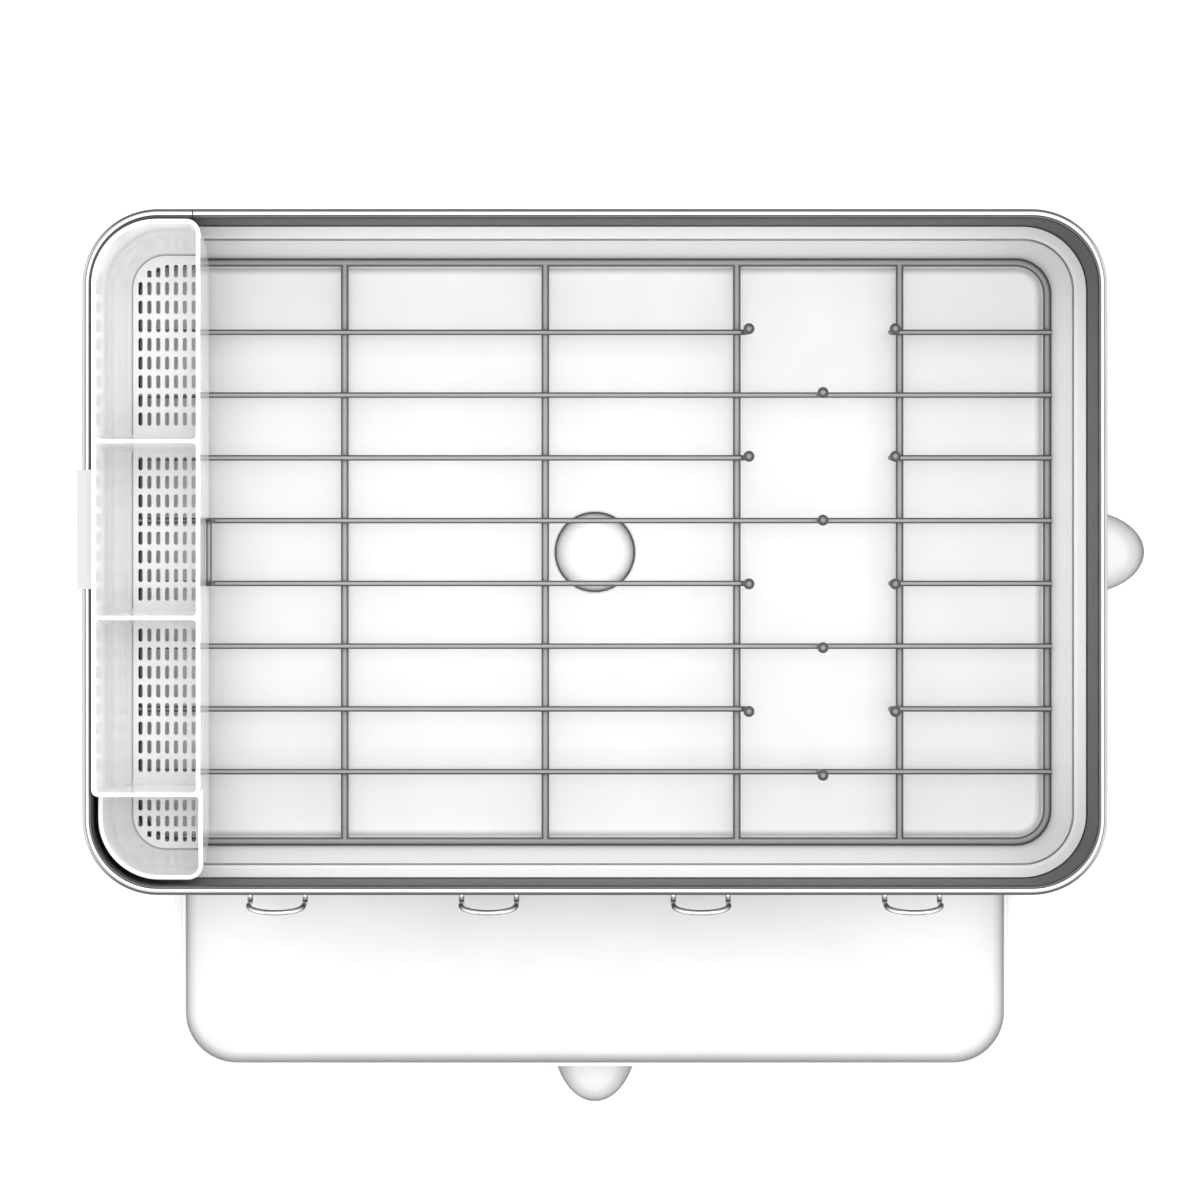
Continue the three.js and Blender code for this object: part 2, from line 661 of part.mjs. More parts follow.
function glassTray() {
  const rearY = GLASS_TRAY_FRONT_Y + GLASS_TRAY_DEPTH;
  const plan = (inset) => {
    const front = GLASS_TRAY_FRONT_R - inset;
    const rear = GLASS_TRAY_REAR_R - inset;
    const x = GLASS_TRAY_HALF_X - inset;
    return roundedPoints(-x, GLASS_TRAY_FRONT_Y + inset, x, rearY - inset, [front, front, rear, rear]);
  };
  const floorZ = GLASS_TRAY_BOTTOM_Z + GLASS_TRAY_WALL;
  return cut(
    slab(plan(0), GLASS_TRAY_BOTTOM_Z, GLASS_TRAY_RIM_Z),
    slab(plan(GLASS_TRAY_WALL), floorZ, GLASS_TRAY_RIM_Z + 1),
    rod(GLASS_TRAY_DRAIN_R, 0, rearY - GLASS_TRAY_DRAIN_INSET, GLASS_TRAY_BOTTOM_Z - 1, floorZ + 1),
  );
}

function railScrewX() {
  return RAIL_OUTER_X - RAIL_REACH / 2;
}

function railScrewY() {
  return -BRIDGE_WIDTH / 2 + RAIL_TAB_LENGTH / 2;
}

// side is 1 for the right-hand rail and -1 for the left-hand one.
function guideRail(side) {
  const frontY = -FRAME_DEPTH / 2 + SKIRT_INSET + SKIRT_WALL + FIT_GAP;
  const rearY = -BRIDGE_WIDTH / 2 - FIT_GAP;
  const bottom = GLASS_TRAY_BOTTOM_Z - FIT_GAP - RAIL_FLANGE;
  const lipZ = GLASS_TRAY_RIM_Z + RAIL_CLEARANCE;
  const tabZ = BRIDGE_TOP_Z + FIT_GAP;
  const inner = RAIL_OUTER_X - RAIL_REACH;
  const web = RAIL_OUTER_X - RAIL_WEB;
  const strip = (fromX, y0, y1, z0, z1) =>
    block(Math.min(side * fromX, side * RAIL_OUTER_X), Math.max(side * fromX, side * RAIL_OUTER_X),
      y0, y1, z0, z1);
  return cut(
    join(
      strip(inner, frontY, rearY, bottom, bottom + RAIL_FLANGE),
      strip(web, frontY, rearY, bottom, lipZ + RAIL_FLANGE),
      strip(inner, frontY, rearY, lipZ, lipZ + RAIL_FLANGE),
      strip(inner, rearY - 2, rearY + RAIL_TAB_LENGTH, tabZ, tabZ + RAIL_FLANGE),
    ),
    rod(SCREW_HOLE_R, side * railScrewX(), railScrewY(), tabZ - 1, tabZ + RAIL_FLANGE + 1, 8),
  );
}

// ---- Wire rack ----

function perimeterWire() {
  const profile = circlePoints(PERIMETER_WIRE_R, 8).map((p) => [p.x, RACK_Z + p.y]);
  return sweptRing(profile, RACK_HALF_X, RACK_HALF_Y, PERIMETER_CORNER_R);
}

function crossWire(x) {
  const end = RACK_HALF_Y - PERIMETER_WIRE_R - WELD_GAP;
  return wire([[x, -end, RACK_Z], [x, end, RACK_Z]], CROSS_WIRE_R);
}

function ball(x, y) {
  return new THREE.SphereGeometry(PRONG_BALL_R, 8, 6).rotateX(Math.PI / 2).translate(x, y, PRONG_TOP_Z);
}

function longWire(y) {
  const end = RACK_HALF_X + PERIMETER_WIRE_R;
  return wire([[-end, y, LONG_WIRE_Z], [end, y, LONG_WIRE_Z]], LONG_WIRE_R);
}

// One half of a cut row: from the perimeter wire to the prong that it turns up into.
function turnedUpWire(startX, prongX, y) {
  const along = [Math.sign(prongX - startX), 0, 0];
  const corner = [prongX, y, LONG_WIRE_Z];
  const stations = [
    [startX, y, LONG_WIRE_Z],
    ...bend(corner, along, [0, 0, 1], PRONG_BEND_R),
    [prongX, y, PRONG_TOP_Z],
  ];
  return join(wire(stations, LONG_WIRE_R), ball(prongX, y));
}

function weldedProng(y) {
  const foot = LONG_WIRE_Z + LONG_WIRE_R + WELD_GAP;
  return join(wire([[PRONG_X, y, foot], [PRONG_X, y, PRONG_TOP_Z]], LONG_WIRE_R), ball(PRONG_X, y));
}

// The staple stands on the two middle rows, against the caddy's right wall.
function caddyStaple() {
  const x = CADDY_RIGHT + FIT_GAP + LONG_WIRE_R;
  const half = ROW_PITCH / 2;
  const foot = LONG_WIRE_Z + LONG_WIRE_R + WELD_GAP;
  const top = LONG_WIRE_Z + STAPLE_HEIGHT;
  const up = [0, 0, 1];
  const forward = [0, -1, 0];
  const down = [0, 0, -1];
  return wire([
    [x, half, foot],
    ...bend([x, half, top], up, forward, STAPLE_BEND_R),
    ...bend([x, -half, top], forward, down, STAPLE_BEND_R),
    [x, -half, foot],
  ], LONG_WIRE_R);
}

// ---- Caddy ----

function caddyPlan(inset, taperX, taperY) {
  const left = FRAME_CORNER_R - BAND_INNER_INSET - CADDY_SIDE_GAP - inset - taperY;
  const right = CADDY_RIGHT_R - inset;
  const y = CADDY_HALF_Y - inset - taperY;
  return roundedPoints(
    CADDY_LEFT + inset + taperX, -y, CADDY_RIGHT - inset, y, [left, right, right, left],
  );
}

// The caddy's full shape, or the space inside it: upright above the crease, drawn in below it.
function caddyBody(inset, bottom, top) {
  return skin([
    atHeight(caddyPlan(inset, CADDY_TAPER_X, CADDY_TAPER_Y), bottom),
    atHeight(caddyPlan(inset, 0, 0), CADDY_CREASE_Z),
    atHeight(caddyPlan(inset, 0, 0), top),
  ], true);
}

function dividerPlaces() {
  const first = -CADDY_HALF_Y + FRONT_COMPARTMENT;
  return [first, first + MIDDLE_COMPARTMENT, first + 2 * MIDDLE_COMPARTMENT];
}

function caddyClip() {
  const y0 = CLIP_Y - CLIP_LENGTH / 2;
  const y1 = CLIP_Y + CLIP_LENGTH / 2;
  const under = RIM_Z + CLIP_GAP;
  return [
    block(CLIP_OUTER_X, CADDY_LEFT + CADDY_WALL / 2, y0, y1, under, under + CLIP_THICKNESS),
    block(CLIP_OUTER_X, CLIP_OUTER_X + CLIP_THICKNESS, y0, y1, under - CLIP_DROP, under + 1),
  ];
}

function caddyShell() {
  const full = caddyBody(0, CADDY_BOTTOM_Z, CADDY_RIM_Z);
  const space = cut(
    caddyBody(CADDY_WALL, CADDY_BOTTOM_Z - 0.01, CADDY_RIM_Z + 1),
    ...dividerPlaces().map((y) => block(
      CADDY_LEFT - 1, CADDY_RIGHT + 1, y - CADDY_DIVIDER_T / 2, y + CADDY_DIVIDER_T / 2,
      CADDY_BOTTOM_Z + CADDY_FLOOR_T + FIT_GAP, CADDY_RIM_Z + 2,
    )),
  );
  const frontEnd = dividerPlaces()[0] - CADDY_DIVIDER_T / 2;
  const lowered = block(
    CADDY_LEFT - 1, CADDY_RIGHT + 1, -CADDY_HALF_Y - 1, frontEnd, CADDY_LOW_RIM_Z, CADDY_RIM_Z + 1,
  );
  return join(cut(full, space, lowered), ...caddyClip());
}

// Rows of slots that fit between two dividers, spread about the middle of the gap.
function slotRows(y0, y1) {
  const room = y1 - y0 - 2 * (SLOT_END_MARGIN + SLOT_LENGTH / 2);
  const count = Math.floor(room / SLOT_PITCH_Y) + 1;
  const first = (y0 + y1) / 2 - ((count - 1) / 2) * SLOT_PITCH_Y;
  return Array.from({ length: Math.max(0, count) }, (_, i) => first + i * SLOT_PITCH_Y);
}

function slotTool(x, y) {
  const halfX = SLOT_WIDTH / 2;
  const halfY = SLOT_LENGTH / 2;
  const above = CADDY_BOTTOM_Z + CADDY_FLOOR_T + 1;
  return block(x - halfX, x + halfX, y - halfY, y + halfY, CADDY_BOTTOM_Z - 1, above);
}

// Whether a slot keeps clear of the rounded left corners of the floor.
function slotFits(x, y, left, half, radius) {
  const dx = left + radius - (x - SLOT_WIDTH / 2);
  const dy = Math.abs(y) + SLOT_LENGTH / 2 - (half - radius);
  return dx <= 0 || dy <= 0 || Math.hypot(dx, dy) < radius - 1.5;
}

function caddyFloor() {
  const inset = CADDY_WALL + FIT_GAP;
  const outline = caddyPlan(inset, CADDY_TAPER_X, CADDY_TAPER_Y);
  const left = CADDY_LEFT + inset + CADDY_TAPER_X;
  const half = CADDY_HALF_Y - inset - CADDY_TAPER_Y;
  const radius = FRAME_CORNER_R - BAND_INNER_INSET - CADDY_SIDE_GAP - inset - CADDY_TAPER_Y;
  const [front, middle, back] = dividerPlaces();
  const rows = [
    ...slotRows(-half, front), ...slotRows(front, middle),
    ...slotRows(middle, back), ...slotRows(back, half),
  ];
  const slots = [];
  for (let column = 0; column < SLOT_COLUMNS; column += 1) {
    const x = CADDY_RIGHT - CADDY_WALL - SLOT_MARGIN - column * SLOT_PITCH_X;
    rows.filter((y) => slotFits(x, y, left, half, radius)).forEach((y) => slots.push(slotTool(x, y)));
  }
  const plate = slab(outline, CADDY_BOTTOM_Z, CADDY_BOTTOM_Z + CADDY_FLOOR_T);
  return cut(plate, mergeGeometries(slots));
}

// ---- Hooks for glasses ----

// Two legs come out of the band's front wall, turn up, and a bowed bar joins them at the top.
function glassHook(x) {
  const wallY = -FRAME_DEPTH / 2 + BEAD_D - BAND_WALL - FIT_GAP;
  const uprightY = wallY - HOOK_REACH;
  const half = HOOK_LEG_SPACING / 2;
  const out = [0, -1, 0];
  const up = [0, 0, 1];
  const leg = (side) => [
    [x + side * half, wallY, HOOK_LEG_Z],
    ...bend([x + side * half, uprightY, HOOK_LEG_Z], out, up, HOOK_BEND_R, 3),
  ];
  const steps = 8;
  const arch = Array.from({ length: steps + 1 }, (_, i) => {
    const angle = Math.PI * (i / steps);
    const rise = Math.sin(angle);
    const straight = HOOK_TOP_Z - HOOK_LEG_SPACING * 0.3;
    return [
      x - half * Math.cos(angle),
      uprightY - HOOK_BOW * rise,
      straight + (HOOK_TOP_Z - straight) * rise ** 0.6,
    ];
  });
  return wire([...leg(-1), ...arch, ...leg(1).reverse()], HOOK_WIRE_R, 6);
}

// ---- Assembly ----

const rack = new THREE.Group();

part(rack, 'steel_frame', steelBand(), brushedSteel);
part(rack, 'base_frame', base(), whiteMatt);
part(rack, 'spout_bridge', bridge(), whiteMatt);
part(rack, 'drain_cup', drainCup(), whiteGloss);
part(rack, 'outlet_pan', outletPan(), whiteGloss);

const cupScrewZ = PAN_BOTTOM_Z - FIT_GAP - SCREW_HEAD_H;
const cupScrewLength = CUP_BOTTOM_Z + CUP_WALL - PAN_BOTTOM_Z + CUP_SCREW_BITE;
part(rack, 'cup_screw', screw(cupScrewLength).translate(0, 0, cupScrewZ), polishedSteel);

bossPlaces().forEach(([x, y], i) => {
  const headZ = BRIDGE_TOP_Z - BRIDGE_PLATE_T - FIT_GAP - SCREW_HEAD_H;
  const length = BRIDGE_PLATE_T + 8;
  part(rack, `bridge_screw_${i + 1}`, screw(length).translate(x, y, headZ), polishedSteel);
});

const footX = FRAME_LENGTH / 2 - FOOT_INSET;
const footY = FRAME_DEPTH / 2 - FOOT_INSET;
[[1, 1, 'back_right'], [-1, 1, 'back_left'], [-1, -1, 'front_left'], [1, -1, 'front_right']]
  .forEach(([sx, sy, place]) => {
    part(rack, `foot_${place}`, foot().translate(sx * footX, sy * footY, 0), greyRubber);
  });

HOOK_X.forEach((x, i) => part(rack, `glass_hook_${i + 1}`, glassHook(x), polishedSteel));

[[1, 'right'], [-1, 'left']].forEach(([side, name]) => {
  part(rack, `guide_rail_${name}`, guideRail(side), whiteMatt);
  const headTop = BRIDGE_TOP_Z + FIT_GAP + RAIL_FLANGE + FIT_GAP + SCREW_HEAD_H;
  const rotated = screw(RAIL_FLANGE + BRIDGE_PLATE_T + 1).rotateX(Math.PI);
  const placed = rotated.translate(side * railScrewX(), railScrewY(), headTop);
  part(rack, `rail_screw_${name}`, placed, polishedSteel);
});

part(rack, 'drip_tray', dripTray(), whiteGloss);
part(rack, 'drain_seal', drainSeal(), greyRubber);

part(rack, 'perimeter_wire', perimeterWire(), coatedWire);
CROSS_WIRE_X.forEach((x, i) => part(rack, `cross_wire_${i + 1}`, crossWire(x), coatedWire));
for (let row = 1; row <= ROW_COUNT; row += 1) {
  const y = ((ROW_COUNT + 1) / 2 - row) * ROW_PITCH;
  const end = RACK_HALF_X + PERIMETER_WIRE_R;
  if (row % 2 === 0) {
    part(rack, `long_wire_${row}`, longWire(y), coatedWire);
    part(rack, `prong_${row}`, weldedProng(y), coatedWire);
  } else {
    part(rack, `long_wire_${row}_left`, turnedUpWire(-end, CUT_FROM_X, y), coatedWire);
    part(rack, `long_wire_${row}_right`, turnedUpWire(end, CUT_TO_X, y), coatedWire);
  }
}
part(rack, 'caddy_staple', caddyStaple(), coatedWire);

part(rack, 'caddy_shell', caddyShell(), whiteGloss);
part(rack, 'caddy_floor', caddyFloor(), whiteGloss);

part(rack, 'glass_tray', glassTray(), whiteGloss);
part(rack, 'side_spout', spout(SIDE_RING_Z), whiteGloss);
part(rack, 'front_spout', spout(FRONT_RING_Z), whiteGloss).rotation.z = -Math.PI / 2;

// The box runs from the clip on the left to the side spout's tip, and from the front spout's tip
// to the band's back.
rack.position.set(-(SPOUT_REACH + CLIP_OUTER_X) / 2, -(FRAME_DEPTH / 2 - SPOUT_REACH) / 2, 0);

const assembly = new THREE.Group();
assembly.add(rack);

export default assembly;
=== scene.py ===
"""Dish drying rack: a steel band on a moulded base, with a drip tray, a coated wire rack, a utensil
caddy, wire hooks, a pull-out tray for glasses and two drain spouts. Metres, +Z up."""

import math

import bpy
import bmesh
import numpy as np
from mathutils import Matrix, Vector


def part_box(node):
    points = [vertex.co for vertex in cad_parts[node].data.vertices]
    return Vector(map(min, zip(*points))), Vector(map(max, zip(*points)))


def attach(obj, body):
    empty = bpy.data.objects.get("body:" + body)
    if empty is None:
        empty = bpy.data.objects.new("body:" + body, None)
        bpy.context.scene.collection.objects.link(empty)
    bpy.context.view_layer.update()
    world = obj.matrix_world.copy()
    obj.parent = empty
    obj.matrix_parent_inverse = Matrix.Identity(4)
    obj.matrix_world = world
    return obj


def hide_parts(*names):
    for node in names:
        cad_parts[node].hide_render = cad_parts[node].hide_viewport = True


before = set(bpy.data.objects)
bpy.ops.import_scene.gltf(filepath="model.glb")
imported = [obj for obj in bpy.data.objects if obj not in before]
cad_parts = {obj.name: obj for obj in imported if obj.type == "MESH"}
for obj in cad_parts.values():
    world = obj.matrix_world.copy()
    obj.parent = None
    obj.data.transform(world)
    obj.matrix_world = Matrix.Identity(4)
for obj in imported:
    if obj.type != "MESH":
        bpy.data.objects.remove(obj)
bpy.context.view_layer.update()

MM = 0.001

# ---- Camera ----
# A long lens straight above the middle of the steel band, with the back of the rack at the top.
steel_low, steel_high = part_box("steel_frame")
centre = (steel_low + steel_high) / 2
rim_z = steel_high.z

camera_data = bpy.data.cameras.new("camera")
camera_data.sensor_width = 36
camera_data.lens = 217.2
camera_data.shift_x = 0.00425
camera_data.shift_y = -0.04
camera_data.clip_end = 100
camera = bpy.data.objects.new("camera", camera_data)
camera.location = (centre.x, centre.y, rim_z + 4.0)
bpy.context.collection.objects.link(camera)
bpy.context.scene.camera = camera
bpy.context.scene.view_settings.view_transform = "Standard"

# ---- Floor and light ----
# A white sweep in a tent of white cloth, lit hardest from its sides so that upright walls come out
# nearly as bright as level faces, with a softbox above that lays a sheen on the polished floors.


def linear(hex_colour):
    """An sRGB hex value as linear red, green, blue, alpha."""
    parts = [int(hex_colour[i:i + 2], 16) / 255 for i in (1, 3, 5)]
    return [p / 12.92 if p <= 0.04045 else ((p + 0.055) / 1.055) ** 2.4 for p in parts] + [1]


def add(tree, kind, inputs=None, **settings):
    """Adds a node, sets its settings, then fills or links its inputs by name or number."""
    node = tree.nodes.new(kind)
    for name, value in settings.items():
        setattr(node, name, value)
    for socket, value in (inputs or {}).items():
        if isinstance(value, bpy.types.NodeSocket):
            tree.links.new(value, node.inputs[socket])
        else:
            node.inputs[socket].default_value = value
    return node


def blended(tree, factor, first, second, mode="MIX"):
    """The colour that lies between two colours at a factor."""
    return add(tree, "ShaderNodeMix", {"Factor": factor, 6: first, 7: second},
               data_type="RGBA", blend_type=mode).outputs[2]


def ramp_stops(node, *stops):
    """Sets a colour ramp to (place, hex colour) stops."""
    elements = node.color_ramp.elements
    while len(elements) > len(stops):
        elements.remove(elements[-1])
    while len(elements) < len(stops):
        elements.new(1)
    for element, (place, colour) in zip(elements, stops):
        element.position = place
        element.color = linear(colour)


def material_tree(name):
    """A new material with an empty tree, its output, and a shader joined to it."""
    material = bpy.data.materials.new(name)
    material.use_nodes = True
    tree = material.node_tree
    tree.nodes.clear()
    shader = add(tree, "ShaderNodeBsdfPrincipled")
    add(tree, "ShaderNodeOutputMaterial", {"Surface": shader.outputs["BSDF"]})
    return material, tree, shader


world = bpy.data.worlds.new("studio")
bpy.context.scene.world = world
world.use_nodes = True
sky = world.node_tree
sky.nodes.clear()
direction = add(sky, "ShaderNodeTexCoord").outputs["Generated"]
height = add(sky, "ShaderNodeSeparateXYZ", {0: direction}).outputs["Z"]
dome = add(sky, "ShaderNodeValToRGB", {0: height})
ramp_stops(dome, (0.0, "#fafafa"), (0.35, "#f8f8f8"), (0.7, "#e0e0e1"), (1.0, "#d8d8d9"))
lit = add(sky, "ShaderNodeBackground", {"Color": dome.outputs["Color"], "Strength": 1.75})
add(sky, "ShaderNodeOutputWorld", {"Surface": lit.outputs["Background"]})

softbox_data = bpy.data.lights.new("softbox", "AREA")
softbox_data.shape = "SQUARE"
softbox_data.size = 4.0
softbox_data.energy = 125
softbox = bpy.data.objects.new("softbox", softbox_data)
softbox.location = (centre.x + 0.3, centre.y + 0.4, 5.5)
towards_rack = Vector((centre.x, centre.y, 0)) - softbox.location
softbox.rotation_euler = towards_rack.to_track_quat("-Z", "Y").to_euler()
bpy.context.collection.objects.link(softbox)

paper, tree, shader = material_tree("seamless_paper")
grain = add(tree, "ShaderNodeTexNoise", {"Vector": add(tree, "ShaderNodeTexCoord").outputs["Object"],
                                         "Scale": 40.0})
tone = add(tree, "ShaderNodeValToRGB", {0: grain.outputs["Fac"]})
ramp_stops(tone, (0.0, "#fbfbfb"), (1.0, "#ffffff"))
tree.links.new(tone.outputs["Color"], shader.inputs["Base Color"])
shader.inputs["Roughness"].default_value = 1.0
shader.inputs["Specular IOR Level"].default_value = 0.0
shader.inputs["Emission Color"].default_value = linear("#ffffff")
shader.inputs["Emission Strength"].default_value = 0.1

floor_mesh = bpy.data.meshes.new("floor")
floor_mesh.from_pydata([(-6, -6, 0), (6, -6, 0), (6, 6, 0), (-6, 6, 0)], [], [(0, 1, 2, 3)])
floor_mesh.materials.append(paper)
floor = bpy.data.objects.new("floor", floor_mesh)
bpy.context.collection.objects.link(floor)
floor.visible_glossy = False

# ---- Steel band ----
# A strip of brushed stainless steel, 1.4 mm thick, its top edge rolled outwards into a 5.4 mm bead.
# It is bent round four corners, and its two ends butt together on the back.
BAND_X = (steel_high.x - steel_low.x) / 2
BAND_Y = (steel_high.y - steel_low.y) / 2
CORNER_R = 42 * MM
BEAD_D = 5.4 * MM
BAND_WALL = 1.4 * MM
SEAM_X = centre.x - 222.3 * MM
SEAM_GAP = 0.16 * MM
SHEARED = 0.35 * MM


def rounded(x0, y0, x1, y1, radii, arc=20, side=6):
    """Points of a rectangle with round corners, counter-clockwise from its front left corner.
    radii: front left, front right, back right, back left. Each straight has side + 1 steps."""
    middles = [(x0 + radii[0], y0 + radii[0]), (x1 - radii[1], y0 + radii[1]),
               (x1 - radii[2], y1 - radii[2]), (x0 + radii[3], y1 - radii[3])]
    corners = []
    for corner, (mx, my) in enumerate(middles):
        angles = math.pi * (1 + corner / 2) + np.linspace(0, math.pi / 2, arc + 1)
        corners.append(np.column_stack([mx + radii[corner] * np.cos(angles),
                                        my + radii[corner] * np.sin(angles)]))
    points = []
    for corner in range(4):
        points.extend(corners[corner])
        start, end = corners[corner][-1], corners[(corner + 1) % 4][0]
        points.extend(start + (end - start) * (k / (side + 1)) for k in range(1, side + 1))
    return np.array(points)


def eased(profile, steps=5):
    """Rounds the corners of an open profile. Each entry is (a, b, radius); a corner with a radius
    becomes an arc, with one more point just before and after it that keeps the flats flat."""
    out = []
    for i, (a, b, radius) in enumerate(profile):
        here = np.array([a, b], float)
        if radius == 0 or i == 0 or i == len(profile) - 1:
            out.append(here)
            continue
        before = np.array(profile[i - 1][:2], float) - here
        after = np.array(profile[i + 1][:2], float) - here
        u, v = before / np.linalg.norm(before), after / np.linalg.norm(after)
        half = math.acos(max(-1, min(1, float(u @ v)))) / 2
        reach = radius / math.tan(half)
        middle = here + (u + v) / np.linalg.norm(u + v) * (radius / math.sin(half))
        first, last = here + u * reach, here + v * reach
        out.append(first + u * radius * 0.12)
        for k in range(steps + 1):
            t = k / steps
            spoke = (first - middle) * (1 - t) + (last - middle) * t
            out.append(middle + spoke / np.linalg.norm(spoke) * radius)
        out.append(last + v * radius * 0.12)
    return np.array(out)


def lofted(name, rings, closed, smooth_angle=40):
    """A mesh object over rings of equally many points. A closed loft joins its last ring to its
    first; an open one has both ends capped. Its UV map holds the real lengths along and across."""
    rings = np.array(rings, float)
    count, size = rings.shape[:2]
    faces, ends = [], []
    spans = count if closed else count - 1
    for i in range(spans):
        n = (i + 1) % count
        for j in range(size):
            k = (j + 1) % size
            faces.append((i * size + j, i * size + k, n * size + k, n * size + j))
    if not closed:
        ends = [tuple(range(size - 1, -1, -1)), tuple((count - 1) * size + j for j in range(size))]
    mesh = bpy.data.meshes.new(name)
    mesh.from_pydata(rings.reshape(-1, 3).tolist(), [], faces + ends)
    along = np.linalg.norm(np.roll(rings, -1, 1) - rings, axis=2)
    along = np.concatenate([np.zeros((count, 1)), np.cumsum(along, 1)], 1)
    across = np.linalg.norm(np.roll(rings, -1, 0) - rings, axis=2).mean(1)
    across = np.concatenate([[0], np.cumsum(across)])
    uv = mesh.uv_layers.new(name="run")
    flat = []
    for i in range(spans):
        for j in range(size):
            flat += [along[0, j], across[i], along[0, j + 1], across[i],
                     along[0, j + 1], across[i + 1], along[0, j], across[i + 1]]
    flat += [0.0] * (2 * sum(len(f) for f in ends))
    uv.data.foreach_set("uv", np.array(flat, np.float32))
    return settled(name, mesh, smooth_angle)


def settled(name, mesh, smooth_angle=40, merge=1e-6):
    """Closes and turns a mesh outwards, shades it smooth but for its sharp edges, and links it."""
    work = bmesh.new()
    work.from_mesh(mesh)
    bmesh.ops.remove_doubles(work, verts=work.verts, dist=merge)
    bmesh.ops.dissolve_degenerate(work, edges=work.edges, dist=merge / 2)
    bmesh.ops.recalc_face_normals(work, faces=work.faces)
    work.to_mesh(mesh)
    work.free()
    mesh.shade_smooth()
    mesh.set_sharp_from_angle(angle=math.radians(smooth_angle))
    piece = bpy.data.objects.new(name, mesh)
    bpy.context.collection.objects.link(piece)
    return piece


def level(points, z):
    return np.column_stack([points, np.full(len(points), z)])


def band_outline(inset, arc=28, side=8):
    """The band's outer outline moved inwards, in the rack's frame."""
    x, y, r = BAND_X - inset, BAND_Y - inset, CORNER_R - inset
    return rounded(centre.x - x, centre.y - y, centre.x + x, centre.y + y, [r] * 4, arc, side)


def band_profile():
    """(inset, z) round the band's wall and the bead rolled on its top."""
    r = BEAD_D / 2
    bottom = steel_low.z
    wall = [(BEAD_D - BAND_WALL, rim_z - BEAD_D + 0.25 * MM), (BEAD_D - BAND_WALL, bottom + 0.2 * MM),
            (BEAD_D - BAND_WALL + 0.2 * MM, bottom), (BEAD_D - 0.2 * MM, bottom), (BEAD_D, bottom + 0.2 * MM)]
    heights = [(BEAD_D, z) for z in np.linspace(bottom + 8 * MM, rim_z - r - 0.3 * MM, 4)]
    angles = np.radians(np.linspace(180, -112, 26))
    bead = [(r - r * math.cos(a), rim_z - r + r * math.sin(a)) for a in angles]
    return wall + heights + bead


def seamed(points):
    """The outline from one side of the seam right round to the other."""
    backs = [j for j in range(len(points)) if points[j][0] > SEAM_X >= points[(j + 1) % len(points)][0]
             and points[j][1] > centre.y]
    start = backs[0] + 1
    turn = np.roll(points, -start, axis=0)
    y = points[backs[0]][1]
    return np.vstack([[(SEAM_X - SEAM_GAP / 2, y)], turn, [(SEAM_X + SEAM_GAP / 2, y)]])


steel, tree, shader = material_tree("brushed_stainless_steel")
# Stainless strip drawn lengthways through an abrasive belt: fine streaks that run along the band and
# spread each highlight across them. Streaks are 0.3 mm apart, coarser than the real 0.1 mm grit.
run = add(tree, "ShaderNodeUVMap", uv_map="run").outputs["UV"]
stretched = add(tree, "ShaderNodeMapping", {"Vector": run, "Scale": (3300.0, 22.0, 1.0)})
streaks = add(tree, "ShaderNodeTexNoise", {"Vector": stretched.outputs["Vector"], "Scale": 1.0,
                                           "Detail": 3.0, "Roughness": 0.6})
broad = add(tree, "ShaderNodeMapping", {"Vector": run, "Scale": (160.0, 6.0, 1.0)})
patches = add(tree, "ShaderNodeTexNoise", {"Vector": broad.outputs["Vector"], "Scale": 1.0, "Detail": 2.0})
tone = add(tree, "ShaderNodeValToRGB", {0: streaks.outputs["Fac"]})
ramp_stops(tone, (0.25, "#d4d5d6"), (0.75, "#f4f5f6"))
shade = blended(tree, 0.3, tone.outputs["Color"], patches.outputs["Color"], "SOFT_LIGHT")
# Across the band the tone changes: its outer face is satin, its inner face is painted dark as shade,
# and the bead's crown carries a painted highlight between two bands of painted shade. Places are millimetres
# of strip.
WALL_RUN = rim_z - steel_low.z
across = add(tree, "ShaderNodeSeparateXYZ", {0: run}).outputs["X"]
BEAD_RUN = 2 * WALL_RUN - BEAD_D * 1.5 + BAND_WALL
bead_turn = add(tree, "ShaderNodeMapRange", {"Value": across, "From Min": BEAD_RUN,
                                             "From Max": BEAD_RUN + BEAD_D * math.pi / 2})
painted_band_tones = add(tree, "ShaderNodeValToRGB", {0: bead_turn.outputs["Result"]})
ramp_stops(painted_band_tones, (0.0, "#515254"), (0.17, "#4a4b4d"), (0.22, "#88898b"), (0.29, "#8c8d8f"),
           (0.33, "#4c4d4f"), (0.39, "#515153"), (0.43, "#dfdfdf"), (0.61, "#dfdfdf"),
           (0.66, "#636365"), (0.9, "#4b4c4e"), (1.0, "#37383a"))
# On the two short sides the bead's outer half is painted light as well, but for a line of painted shade
# beside its crown.
ends = add(tree, "ShaderNodeValToRGB", {0: bead_turn.outputs["Result"]})
ramp_stops(ends, (0.0, "#515254"), (0.2, "#4a4b4d"), (0.24, "#7e7e80"), (0.29, "#7f8082"), (0.33, "#5d5e60"),
           (0.37, "#7c7d7e"), (0.41, "#dfdfdf"), (0.53, "#dfdfdf"), (0.57, "#939496"), (0.62, "#979899"),
           (0.67, "#cdcecf"), (0.8, "#c6c6c8"), (0.9, "#7e7e80"), (1.0, "#4f5051"))
spot = add(tree, "ShaderNodeSeparateXYZ", {0: add(tree, "ShaderNodeTexCoord").outputs["Object"]})
off_centre = add(tree, "ShaderNodeMath", {0: add(tree, "ShaderNodeMath", {0: spot.outputs["Y"], 1: centre.y},
                                                 operation="SUBTRACT").outputs[0]}, operation="ABSOLUTE")
# Long sides take the first painted band pattern and short sides the second, as light falls differently on
# them.
long_side = add(tree, "ShaderNodeMapRange", {"Value": off_centre.outputs[0], "From Min": BAND_Y - 30 * MM,
                                             "From Max": BAND_Y - 6 * MM})
